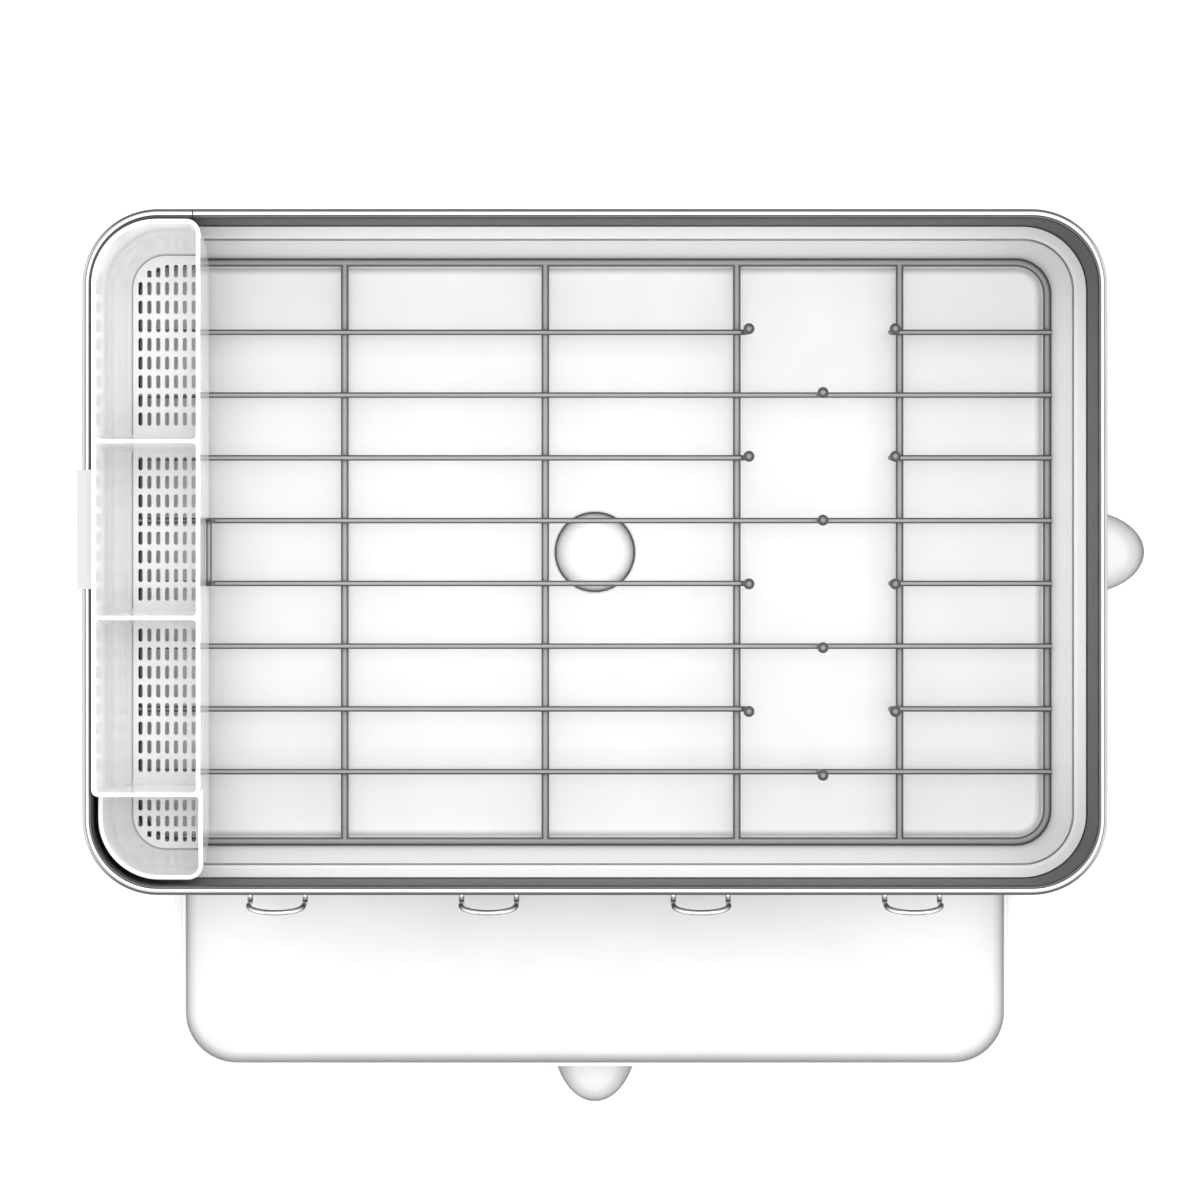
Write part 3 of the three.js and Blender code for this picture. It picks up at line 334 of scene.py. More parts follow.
painted_band_mix = blended(tree, long_side.outputs["Result"], ends.outputs["Color"], painted_band_tones.outputs["Color"])
inner = add(tree, "ShaderNodeMapRange", {"Value": across, "From Min": WALL_RUN - BEAD_D - MM,
                                         "From Max": WALL_RUN - BEAD_D + 1.2 * MM})
banded = blended(tree, inner.outputs["Result"], linear("#b9babc"), painted_band_mix)
whole = blended(tree, 1.0, shade, banded, "MULTIPLY")
# The two cut ends of the strip are left as sheared, a dark line on each side of the seam.
at_seam = add(tree, "ShaderNodeMath", {0: spot.outputs["X"], 1: SEAM_X, 2: SHEARED}, operation="COMPARE")
at_back = add(tree, "ShaderNodeMath", {0: spot.outputs["Y"], 1: centre.y}, operation="GREATER_THAN")
cut_end = add(tree, "ShaderNodeMath", {0: at_seam.outputs[0], 1: at_back.outputs[0]}, operation="MULTIPLY")
seamed_tone = blended(tree, cut_end.outputs[0], whole, linear("#2e2f30"))
tree.links.new(seamed_tone, shader.inputs["Base Color"])
rough = add(tree, "ShaderNodeMapRange", {"Value": streaks.outputs["Fac"], "To Min": 0.24, "To Max": 0.4})
tree.links.new(rough.outputs["Result"], shader.inputs["Roughness"])
dent = add(tree, "ShaderNodeBump", {"Height": streaks.outputs["Fac"], "Strength": 0.12, "Distance": 0.0001})
tree.links.new(dent.outputs["Normal"], shader.inputs["Normal"])
# The inner face's reflection is painted darker too: less metallic, and with no tint at grazing angles, a
# painted shade.
inner_face_shade = add(tree, "ShaderNodeMath", {0: inner.outputs["Result"], 1: bead_turn.outputs["Result"]},
           operation="SUBTRACT")
metal = add(tree, "ShaderNodeMapRange", {"Value": inner_face_shade.outputs[0], "From Min": 0.85, "From Max": 1.0,
                                         "To Min": 1.0, "To Max": 0.4})
tree.links.new(metal.outputs["Result"], shader.inputs["Metallic"])
edge_tint = add(tree, "ShaderNodeMapRange", {"Value": inner_face_shade.outputs[0], "From Min": 0.85, "From Max": 1.0,
                                             "To Min": 1.0, "To Max": 0.0})
tree.links.new(edge_tint.outputs["Result"], shader.inputs["Specular Tint"])
shader.inputs["Specular IOR Level"].default_value = 0.1


def dress(piece, material):
    """Gives the whole piece one material, in place of any empty slots that cutting left on it."""
    piece.data.materials.clear()
    piece.data.materials.append(material)


lines = np.array([level(seamed(band_outline(inset)), z) for inset, z in band_profile()])
steel_band = lofted("steel_band", lines.transpose(1, 0, 2), False)
dress(steel_band, steel)
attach(steel_band, "frame")
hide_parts("steel_frame")

# ---- Base ----
# One white polypropylene moulding with a fine matt texture: a skirt with a corner leg at each end, a
# ledge that carries the band, and inside it a deck with a sunk seat for the drip tray.
LEG_SPAN = 45.4 * MM
FOOT_TOP = 8 * MM

white_pp, tree, shader = material_tree("textured_polypropylene")
# Moulded against a lightly spark-eroded tool, so light scatters softly: grain of 0.5 mm, faint tone.
# Upright and sloping faces are painted greyer than level ones, a painted shade.
place = add(tree, "ShaderNodeTexCoord").outputs["Object"]
grain = add(tree, "ShaderNodeTexNoise", {"Vector": place, "Scale": 2000.0, "Detail": 2.0})
clouds = add(tree, "ShaderNodeTexNoise", {"Vector": place, "Scale": 9.0, "Detail": 1.0})
tone = add(tree, "ShaderNodeValToRGB", {0: clouds.outputs["Fac"]})
ramp_stops(tone, (0.3, "#fafaf9"), (0.7, "#fdfdfc"))
facing = add(tree, "ShaderNodeAttribute", attribute_name="crown")
steep_shade = add(tree, "ShaderNodeMapRange", {"Value": facing.outputs["Fac"], "From Min": 0.9, "From Max": 0.3})
skin = blended(tree, steep_shade.outputs["Result"], tone.outputs["Color"], linear("#bcbcbb"))
tree.links.new(skin, shader.inputs["Base Color"])
rough = add(tree, "ShaderNodeMapRange", {"Value": grain.outputs["Fac"], "To Min": 0.38, "To Max": 0.52})
tree.links.new(rough.outputs["Result"], shader.inputs["Roughness"])
dent = add(tree, "ShaderNodeBump", {"Height": grain.outputs["Fac"], "Strength": 0.08, "Distance": 0.0002})
tree.links.new(dent.outputs["Normal"], shader.inputs["Normal"])
shader.inputs["IOR"].default_value = 1.49


def prism(name, points, z0, z1):
    return lofted(name, [level(points, z0), level(points, z1)], False)


def block(name, x0, x1, y0, y1, z0, z1):
    return prism(name, np.array([(x0, y0), (x1, y0), (x1, y1), (x0, y1)]), z0, z1)


def baked(piece, *modifiers):
    """Adds modifiers given as (kind, settings), and gives the piece the mesh that they make."""
    for kind, settings in modifiers:
        modifier = piece.modifiers.new(kind.lower(), kind)
        for name, value in settings.items():
            setattr(modifier, name, value)
    graph = bpy.context.evaluated_depsgraph_get()
    mesh = bpy.data.meshes.new_from_object(piece.evaluated_get(graph))
    piece.modifiers.clear()
    piece.data = mesh
    return piece


def combined(piece, tool, operation):
    """Joins, cuts or intersects the piece with a tool solid, which is then removed."""
    baked(piece, ("BOOLEAN", {"object": tool, "operation": operation, "solver": "MANIFOLD"}))
    bpy.data.objects.remove(tool)
    return piece


def softened(piece, width, segments=3, angle=40):
    """Rounds every sharp edge, as a moulded piece's edges are, and shades the flats flat."""
    baked(piece, ("BEVEL", {"width": width, "segments": segments, "limit_method": "ANGLE",
                            "angle_limit": math.radians(angle), "miter_outer": "MITER_ARC",
                            "use_clamp_overlap": True}))
    piece.data.shade_smooth()
    piece.data.set_sharp_from_angle(angle=math.radians(45))
    return baked(piece, ("WEIGHTED_NORMAL", {"keep_sharp": True, "weight": 80}))


def mark_crown(piece, above=10.0, share=1.0):
    """Stores how far each point faces up as the attribute crown, scaled by share above a height."""
    # The materials paint shade on faces turned from level and highlight on level ones from this attribute.
    crown = piece.data.attributes.new("crown", "FLOAT", "POINT")
    crown.data.foreach_set("value", [max(v.normal.z, 0.0) * (share if v.co.z > above else 1.0)
                                     for v in piece.data.vertices])


base_low, base_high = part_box("base_frame")
deck_z = base_high.z
tray_low, tray_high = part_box("drip_tray")
SKIRT_INSET = 1 * MM
SKIRT_WALL = 2.6 * MM
DECK_INSET = 12.8 * MM
seat_z = deck_z - 2.3 * MM
seat_x, seat_y = 256.6 * MM, 164.7 * MM
seat_opening = rounded(centre.x - seat_x, centre.y - seat_y, centre.x + seat_x, centre.y + seat_y,
                       [18 * MM] * 4, 28, 8)
base_rings = [level(band_outline(inset), z) for inset, z in eased([
    (SKIRT_INSET, 34 * MM, 0), (SKIRT_INSET, 50 * MM, 0.5 * MM), (5.8 * MM, 50 * MM, 0),
    (5.8 * MM, deck_z, 0.3 * MM), (DECK_INSET - 1.6 * MM, deck_z, 0.3 * MM),
    (DECK_INSET - 1.3 * MM, deck_z - 0.25 * MM, 0.3 * MM), (DECK_INSET, deck_z - 0.25 * MM, 0.3 * MM),
    (DECK_INSET, seat_z - 1.7 * MM, 0), (DECK_INSET + 0.9 * MM, seat_z - 1.7 * MM, 0),
    (DECK_INSET + 1 * MM, seat_z, 0)], 3)]
base_rings += [level(seat_opening, seat_z), level(seat_opening, seat_z - 3.2 * MM)]
base_rings += [level(band_outline(inset), z) for inset, z in (
    (8.4 * MM, seat_z - 3.2 * MM), (8.4 * MM, 46 * MM), (SKIRT_INSET + SKIRT_WALL, 46 * MM),
    (SKIRT_INSET + SKIRT_WALL, 34 * MM))]
base = lofted("base_moulding", base_rings, True)

leg_x, leg_y = BAND_X - LEG_SPAN, BAND_Y - LEG_SPAN
combined(base, block("front_gap", centre.x - leg_x, centre.x + leg_x, centre.y - BAND_Y - MM,
                     centre.y - leg_y, 33 * MM, 48 * MM), "DIFFERENCE")
legs = lofted("legs", [level(band_outline(SKIRT_INSET), z) for z in (FOOT_TOP, 49 * MM)], False)
combined(legs, lofted("legs_inside", [level(band_outline(SKIRT_INSET + SKIRT_WALL), z)
                                      for z in (FOOT_TOP + 4 * MM, 50 * MM)], False), "DIFFERENCE")
for sx in (-1, 1):
    for sy in (-1, 1):
        xs = sorted((centre.x + sx * leg_x, centre.x + sx * BAND_X))
        ys = sorted((centre.y + sy * leg_y, centre.y + sy * BAND_Y))
        corner = block("corner", *xs, *ys, FOOT_TOP - MM, 50 * MM)
        leg = legs.copy()
        leg.data = legs.data.copy()
        bpy.context.collection.objects.link(leg)
        combined(leg, corner, "INTERSECT")
        combined(base, leg, "UNION")
bpy.data.objects.remove(legs)
boss_x, boss_y = BAND_X - 17.4 * MM, 20 * MM
for sx in (-1, 1):
    for sy in (-1, 1):
        angles = np.linspace(0, 2 * math.pi, 32, endpoint=False)
        spot = np.array([centre.x + sx * boss_x, centre.y + sy * boss_y])
        ring = spot + 5 * MM * np.column_stack([np.cos(angles), np.sin(angles)])
        hole = spot + 2.2 * MM * np.column_stack([np.cos(angles), np.sin(angles)])
        combined(base, prism("boss", ring, 41.3 * MM, seat_z - 2 * MM), "UNION")
        combined(base, prism("boss_hole", hole, 40 * MM, 50.3 * MM), "DIFFERENCE")
softened(base, 0.4 * MM, 2)
mark_crown(base)
dress(base, white_pp)
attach(base, "frame")
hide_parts("base_frame")

# ---- Feet ----
# Four grey rubber pads, tapered, pressed up under the legs.
rubber, tree, shader = material_tree("moulded_rubber")
# Soft moulded rubber with a dry, dusty surface: fine mottling of 1 mm, no clear reflections.
mottle = add(tree, "ShaderNodeTexNoise", {"Vector": add(tree, "ShaderNodeTexCoord").outputs["Object"],
                                          "Scale": 1000.0, "Detail": 3.0})
tone = add(tree, "ShaderNodeValToRGB", {0: mottle.outputs["Fac"]})
ramp_stops(tone, (0.3, "#8e8f91"), (0.7, "#a0a1a3"))
tree.links.new(tone.outputs["Color"], shader.inputs["Base Color"])
dent = add(tree, "ShaderNodeBump", {"Height": mottle.outputs["Fac"], "Strength": 0.15, "Distance": 0.0002})
tree.links.new(dent.outputs["Normal"], shader.inputs["Normal"])
shader.inputs["Roughness"].default_value = 0.8
shader.inputs["IOR"].default_value = 1.52


def turned(name, profile, cx, cy, sides=64, closed=False):
    """Turns (radius, z) points about an upright axis at cx, cy."""
    angles = np.linspace(0, 2 * math.pi, sides, endpoint=False)
    rings = [np.column_stack([cx + r * np.cos(angles), cy + r * np.sin(angles), np.full(sides, z)])
             for r, z in profile]
    return lofted(name, rings, closed)


FOOT_NODES = ["foot_back_right", "foot_back_left", "foot_front_left", "foot_front_right"]


def input_node_group(name, sizes):
    """A Geometry Nodes tree with a geometry input and output, and one named input for each size:
    a float, a whole number, or an object where the size is None."""
    group = bpy.data.node_groups.new(name, "GeometryNodeTree")
    group.interface.new_socket("Geometry", in_out="INPUT", socket_type="NodeSocketGeometry")
    for size, value in sizes.items():
        kind = {int: "NodeSocketInt", type(None): "NodeSocketObject"}.get(type(value), "NodeSocketFloat")
        group.interface.new_socket(size, in_out="INPUT", socket_type=kind)
    group.interface.new_socket("Geometry", in_out="OUTPUT", socket_type="NodeSocketGeometry")
    return group, add(group, "NodeGroupInput"), add(group, "NodeGroupOutput")


def grown(piece, group, sizes):
    """Runs a tree on the piece with these sizes, and keeps the plain mesh that comes out."""
    modifier = piece.modifiers.new(group.name, "NODES")
    modifier.node_group = group
    for item in group.interface.items_tree:
        if item.in_out == "INPUT" and item.name in sizes:
            modifier[item.identifier] = sizes[item.name]
    baked(piece)
    return piece


def closing(group, geometry, material, output):
    """Ends a tree: instances made real, smooth shading, and the material set."""
    real = add(group, "GeometryNodeRealizeInstances", {0: geometry}).outputs[0]
    dressed = add(group, "GeometryNodeSetMaterial", {"Geometry": real})
    dressed.inputs["Material"].default_value = material
    group.links.new(dressed.outputs[0], output.inputs[0])


def repeat_at_points(name, material):
    """A tree that puts one shape at each of the piece's own points. The shape is an object."""
    group, given, output = input_node_group(name, {"Shape": None})
    shape = add(group, "GeometryNodeObjectInfo", {"Object": given.outputs["Shape"]})
    spread = add(group, "GeometryNodeInstanceOnPoints",
                 {"Points": given.outputs["Geometry"], "Instance": shape.outputs["Geometry"]})
    closing(group, spread.outputs[0], material, output)
    return group


def points_piece(name, places):
    mesh = bpy.data.meshes.new(name)
    mesh.from_pydata([tuple(p) for p in places], [], [])
    piece = bpy.data.objects.new(name, mesh)
    bpy.context.collection.objects.link(piece)
    return piece


def centre_of(node):
    low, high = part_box(node)
    return (low + high) / 2


foot_low, foot_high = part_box(FOOT_NODES[0])
foot_r, foot_h = (foot_high.x - foot_low.x) / 2, foot_high.z - foot_low.z
foot_shape = turned("foot_shape", eased([
    (0, 0, 0), (foot_r - 1.3 * MM, 0, 1 * MM), (foot_r, 1.6 * MM, 1 * MM),
    (foot_r - MM, foot_h, 0), (0, foot_h, 0)]),
    0, 0, 48)
feet = points_piece("rubber_feet", [(centre_of(n).x, centre_of(n).y, 0) for n in FOOT_NODES])
grown(feet, repeat_at_points("feet", rubber), {"Shape": foot_shape})
bpy.data.objects.remove(foot_shape)
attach(feet, "frame")
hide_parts(*FOOT_NODES)

# ---- Screws ----
# Pan-head cross-recess screws, rolled and bright zinc plated. Four hold the bridge from below, one
# the outlet pan, and two each hold a guide rail from above.
zinc, tree, shader = material_tree("bright_zinc_plated_steel")
# A thin bright plating over a rolled head: clear reflections, a little cloudy, colder than steel.
cloud = add(tree, "ShaderNodeTexNoise", {"Vector": add(tree, "ShaderNodeTexCoord").outputs["Object"],
                                         "Scale": 900.0, "Detail": 2.0})
tone = add(tree, "ShaderNodeValToRGB", {0: cloud.outputs["Fac"]})
ramp_stops(tone, (0.3, "#bfc2c6"), (0.7, "#d3d5d8"))
tree.links.new(tone.outputs["Color"], shader.inputs["Base Color"])
rough = add(tree, "ShaderNodeMapRange", {"Value": cloud.outputs["Fac"], "To Min": 0.16, "To Max": 0.3})
tree.links.new(rough.outputs["Result"], shader.inputs["Roughness"])
shader.inputs["Metallic"].default_value = 1.0


def screw_shape(length):
    """A screw with its head's crown at z 0, its shank up, and a cross recess in the crown."""
    head_r, head_h, shank_r = 4.2 * MM, 2.2 * MM, 1.8 * MM
    shape = turned("screw_shape", eased([
        (0, 0, 0), (head_r - 0.9 * MM, 0.1 * MM, 2 * MM), (head_r, head_h * 0.7, 0.5 * MM),
        (head_r, head_h, 0), (shank_r, head_h, 0), (shank_r, head_h + length - MM, 0),
        (0, head_h + length, 0)], 3), 0, 0, 32)
    for long, wide in ((2.3 * MM, 0.5 * MM), (0.5 * MM, 2.3 * MM)):
        combined(shape, block("recess", -long, long, -wide, wide, -MM, 1.2 * MM), "DIFFERENCE")
    return shape


def screws(name, nodes, heads, length, head_up):
    shape = screw_shape(length)
    if head_up:
        shape.data.transform(Matrix.Rotation(math.pi, 4, "X"))
    piece = points_piece(name, heads)
    grown(piece, repeat_at_points(name, zinc), {"Shape": shape})
    bpy.data.objects.remove(shape)
    piece.data.set_sharp_from_angle(angle=math.radians(40))
    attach(piece, "frame")
    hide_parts(*nodes)


BRIDGE_SCREWS = [f"bridge_screw_{i}" for i in range(1, 5)]
RAIL_SCREWS = ["rail_screw_right", "rail_screw_left"]
bridge_heads = [(centre_of(n).x, centre_of(n).y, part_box(n)[0].z) for n in BRIDGE_SCREWS]
rail_heads = [(centre_of(n).x, centre_of(n).y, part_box(n)[1].z) for n in RAIL_SCREWS]
cup_head = (centre_of("cup_screw").x, centre_of("cup_screw").y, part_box("cup_screw")[0].z)
screws("bridge_screws", BRIDGE_SCREWS, bridge_heads, 11.5 * MM, False)
screws("rail_screws", RAIL_SCREWS, rail_heads, 6.5 * MM, True)
screws("cup_screw_bright", ["cup_screw"], [cup_head], 7.3 * MM, False)

# ---- Bridge ----
# A ribbed white polypropylene beam screwed across the base's underside. A hole in its middle carries
# the drain cup, and the rails for the pull-out tray hang on it.
bridge_low, bridge_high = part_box("spout_bridge")
bridge_top = bridge_high.z


def disc(name, x, y, r, z0, z1, sides=48):
    angles = np.linspace(0, 2 * math.pi, sides, endpoint=False)
    return prism(name, np.column_stack([x + r * np.cos(angles), y + r * np.sin(angles)]), z0, z1)


BRIDGE_PLATE, BRIDGE_RIB = 3.5 * MM, 3 * MM
bridge = block("bridge", bridge_low.x, bridge_high.x, bridge_low.y, bridge_high.y,
               bridge_top - BRIDGE_PLATE, bridge_top)
for y0, y1 in ((bridge_low.y, bridge_low.y + BRIDGE_RIB), (bridge_high.y - BRIDGE_RIB, bridge_high.y)):
    combined(bridge, block("rib", bridge_low.x, bridge_high.x, y0, y1,
                           bridge_low.z, bridge_top - MM), "UNION")
for x in (-190, -120, -60, 60, 120, 190):
    x0 = centre.x + x * MM
    combined(bridge, block("web", x0 - MM, x0 + MM, bridge_low.y + MM, bridge_high.y - MM,
                           bridge_low.z + 2 * MM, bridge_top - MM), "UNION")
hub = disc("hub", centre.x, centre.y, 31 * MM, bridge_low.z, bridge_top - MM, 64)
combined(hub, block("hub_room", bridge_low.x, bridge_high.x, bridge_low.y, bridge_high.y, 0, 1), "INTERSECT")
combined(bridge, hub, "UNION")
combined(bridge, disc("bore", centre.x, centre.y, 26.6 * MM, 0, 60 * MM, 96), "DIFFERENCE")
for x, y, _ in bridge_heads + rail_heads:
    combined(bridge, disc("hole", x, y, 2.2 * MM, 0, 60 * MM, 24), "DIFFERENCE")
softened(bridge, 0.3 * MM, 2)
dress(bridge, white_pp)
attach(bridge, "frame")
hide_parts("spout_bridge")

# ---- Drain cup and outlet pan ----
# A glossy white bowl that hangs in the bridge by its flange and feeds both spouts through four
# windows, and a shallow pan screwed up under it. Both are injection moulded in polypropylene.


def gloss_material(name, dark, light, steep_shade, matt_above=1.0):
    """Moulded against a polished tool: a clear gloss over milky white, with flow waviness some 30 mm
    long and an orange peel of 2 mm that only unsettles reflections. Above a height it is matt and
    painted lighter, a painted light, and faces sloping from level are painted greyer, a painted shade."""
    gloss, tree, shader = material_tree(name)
    place = add(tree, "ShaderNodeTexCoord").outputs["Object"]
    waves = add(tree, "ShaderNodeTexNoise", {"Vector": place, "Scale": 30.0, "Detail": 1.0})
    peel = add(tree, "ShaderNodeTexNoise", {"Vector": place, "Scale": 500.0, "Detail": 1.0})
    tone = add(tree, "ShaderNodeValToRGB", {0: waves.outputs["Fac"]})
    ramp_stops(tone, (0.3, dark), (0.7, light))
    rough = add(tree, "ShaderNodeMapRange", {"Value": peel.outputs["Fac"], "To Min": 0.14, "To Max": 0.22})
    up = add(tree, "ShaderNodeSeparateXYZ", {0: place}).outputs["Z"]
    matt = add(tree, "ShaderNodeMapRange", {"Value": up, "From Min": matt_above - 0.5 * MM,
                                            "From Max": matt_above})
    # Above the height the tone is painted lighter, a painted light.
    skin = blended(tree, matt.outputs["Result"], tone.outputs["Color"], linear("#ededed"))
    facing = add(tree, "ShaderNodeAttribute", attribute_name="crown")
    # Faces that slope away from level are painted greyer, a painted shade.
    slope = add(tree, "ShaderNodeMapRange", {"Value": facing.outputs["Fac"], "From Min": 0.97,
                                             "From Max": 0.25})
    steep_shaded = blended(tree, slope.outputs["Result"], skin, linear(steep_shade))
    tree.links.new(steep_shaded, shader.inputs["Base Color"])
    blend = add(tree, "ShaderNodeMix", {0: matt.outputs["Result"], 2: rough.outputs["Result"], 3: 0.5})
    tree.links.new(blend.outputs[0], shader.inputs["Roughness"])
    dent = add(tree, "ShaderNodeBump", {"Height": peel.outputs["Fac"], "Strength": 0.04, "Distance": 0.0003})
    tree.links.new(dent.outputs["Normal"], shader.inputs["Normal"])
    shader.inputs["IOR"].default_value = 1.49
    return gloss


# The last colour of each is a painted shade for sloping faces; the drip tray's flange, above its top, is
# painted lighter.
gloss_white = gloss_material("gloss_polypropylene", "#eeeeee", "#f2f2f2", "#b4b4b5")
tray_white = gloss_material("cool_white_polypropylene", "#d6d6d7", "#dadadb", "#b8b8b9",
                            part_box("drip_tray")[1].z - 0.8 * MM)

cup_low, cup_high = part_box("drain_cup")
flange_z = cup_high.z
cup = turned("cup", eased([
    (2.2 * MM, 12.3 * MM, 0), (22.2 * MM, 12.3 * MM, 1 * MM), (22.2 * MM, 28.6 * MM, 0),
    (26 * MM, 28.6 * MM, 0.8 * MM), (26 * MM, flange_z - 1.4 * MM, 0),
    (31 * MM, flange_z - 1.4 * MM, 0.4 * MM), (31 * MM, flange_z, 0.4 * MM),
    (24 * MM, flange_z, 1.2 * MM), (24 * MM, 32.6 * MM, 1 * MM), (20.2 * MM, 29.6 * MM, 1 * MM),
    (20.2 * MM, 14.3 * MM, 2 * MM), (2.2 * MM, 14.3 * MM, 0)], 5), centre.x, centre.y, 96, True)
for long, wide in ((23.2 * MM, 9 * MM), (9 * MM, 23.2 * MM)):
    combined(cup, block("window", centre.x - long, centre.x + long, centre.y - wide, centre.y + wide,
                        14.3 * MM, 19 * MM), "DIFFERENCE")
cap_r, cap_edge, cap_top = 22.3 * MM, 34.5 * MM, 42.3 * MM
crown = [(cap_r * math.sin(a), cap_edge + 1.2 * MM + (cap_top - cap_edge - 1.2 * MM) * math.cos(a))
         for a in np.linspace(math.pi / 2, 0, 22)]
post = turned("post", [(0, 17.5 * MM), (5 * MM, 17.5 * MM), (5 * MM, 37.5 * MM), (12 * MM, 37 * MM),
                       (cap_r - 1.5 * MM, cap_edge), (cap_r, cap_edge), *crown], centre.x, centre.y, 96)
sleeve = [(2.2 * MM, 13.3 * MM), (5 * MM, 13.3 * MM), (5 * MM, 19 * MM), (2.2 * MM, 19 * MM)]
combined(post, turned("sleeve", sleeve, centre.x, centre.y, 96, True), "UNION")
combined(cup, post, "UNION")
cup.data.shade_smooth()
cup.data.set_sharp_from_angle(angle=math.radians(40))
mark_crown(cup)
dress(cup, gloss_white)
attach(cup, "frame")
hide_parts("drain_cup")

pan = turned("pan", eased([
    (2.2 * MM, 10 * MM, 0), (32 * MM, 10 * MM, 3 * MM), (32 * MM, 19.4 * MM, 0.5 * MM),
    (30 * MM, 19.4 * MM, 0.5 * MM), (30 * MM, 12 * MM, 2 * MM), (2.2 * MM, 12 * MM, 0)]),
    centre.x, centre.y, 96, True)
combined(pan, block("side_outlet", centre.x + 22.2 * MM, centre.x + 33 * MM, centre.y - 13 * MM,
                    centre.y + 13 * MM, 12 * MM, 21 * MM), "DIFFERENCE")
combined(pan, block("front_outlet", centre.x - 13 * MM, centre.x + 13 * MM, centre.y - 33 * MM,
                    centre.y - 22.2 * MM, 12 * MM, 21 * MM), "DIFFERENCE")
softened(pan, 0.25 * MM, 2, 50)
mark_crown(pan)
dress(pan, gloss_white)
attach(pan, "frame")
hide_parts("outlet_pan")

# ---- Guide rails ----
# Two white polypropylene channels that the pull-out tray slides in. A tab at the rear of each lies
# on the bridge under its screw.
for side, name in ((1, "right"), (-1, "left")):
    low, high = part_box(f"guide_rail_{name}")
    outer = high.x if side > 0 else low.x
    rear = bridge_low.y - 0.3 * MM
    tab_z = bridge_top + 0.3 * MM

    def strip(reach, y0, y1, z0, z1):
        x0, x1 = sorted((outer, outer - side * reach))
        return block("strip", x0, x1, y0, y1, z0, z1)

    rail = strip(9 * MM, low.y, rear, low.z, low.z + 2 * MM)
    rail.name = f"rail_{name}"
    combined(rail, strip(2.4 * MM, low.y, rear, low.z + 0.5 * MM, high.z), "UNION")
    combined(rail, strip(9 * MM, low.y, rear, high.z - 2 * MM, high.z), "UNION")
    combined(rail, strip(9 * MM, rear - 2 * MM, high.y, tab_z, tab_z + 2 * MM), "UNION")
    head = centre_of(f"rail_screw_{name}")
    combined(rail, disc("hole", head.x, head.y, 2.2 * MM, tab_z - MM, tab_z + 3 * MM, 24), "DIFFERENCE")
    softened(rail, 0.35 * MM, 2)
    dress(rail, white_pp)
    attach(rail, "frame")
    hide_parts(f"guide_rail_{name}")

# ---- Drip tray ----
# A thin white tray, loose in the base: a flat flange on the sunk seat, a well, and a floor that falls
# to a round drain with a collar under it. Injection moulded polypropylene, glossy inside.
TRAY_X, TRAY_Y = (tray_high.x - tray_low.x) / 2, (tray_high.y - tray_low.y) / 2
WELL_X, WELL_Y = TRAY_X - 17.2 * MM, TRAY_Y - 15.4 * MM
WELL_R, FLANGE = 14 * MM, 17.2 * MM
FLOOR_Z = 51 * MM
DRAIN_R = 22.8 * MM


def tray_ring(out, z):
    """The tray's outline at a distance out from the well's edge; inwards is negative."""
    share = max(out, 0) / FLANGE
    x = WELL_X + min(out, 0) + share * (TRAY_X - WELL_X)
    y = WELL_Y + min(out, 0) + share * (TRAY_Y - WELL_Y)
    r = max(WELL_R + min(out, 0) + share * 14.4 * MM, MM)
    return level(rounded(centre.x - x, centre.y - y, centre.x + x, centre.y + y, [r] * 4, 24, 14), z)


tray_angles = np.arctan2(*(tray_ring(0, 0)[:, 1::-1] - [centre.y, centre.x]).T)


def round_ring(r, z):
    return np.column_stack([centre.x + r * np.cos(tray_angles), centre.y + r * np.sin(tray_angles),
                            np.full(len(tray_angles), z)])


tray_rings = [tray_ring(out, z) for out, z in eased([
    (2 * MM, deck_z - 2 * MM, 0), (FLANGE, deck_z - 2 * MM, 0.4 * MM), (FLANGE, deck_z, 0.5 * MM),
    (0, deck_z, 1.4 * MM), (-1.2 * MM, FLOOR_Z, 3.5 * MM), (-9 * MM, FLOOR_Z, 0)], 6)]
tray_rings += [round_ring(r, z) for r, z in eased([
    (72 * MM, FLOOR_Z, 0), (70 * MM, FLOOR_Z, 8 * MM), (DRAIN_R, FLOOR_Z - 2 * MM, 1.2 * MM),
    (DRAIN_R, 43 * MM, 0.4 * MM), (24.8 * MM, 43 * MM, 0.4 * MM), (24.8 * MM, FLOOR_Z - 4.2 * MM, 0),
    (70 * MM, FLOOR_Z - 2.2 * MM, 0)], 5)]
tray_rings += [tray_ring(out, z) for out, z in eased([
    (-6 * MM, FLOOR_Z - 2.2 * MM, 0), (0.8 * MM, FLOOR_Z - 2.2 * MM, 4 * MM),
    (2 * MM, deck_z - 2 * MM, 0)], 5)]
tray = lofted("tray", tray_rings, True, 50)
mark_crown(tray)
dress(tray, tray_white)
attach(tray, "drip_tray")
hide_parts("drip_tray")

# A grey silicone ring, stretched round the collar, that seals it against the cup's flange.
silicone, tree, shader = material_tree("grey_silicone")
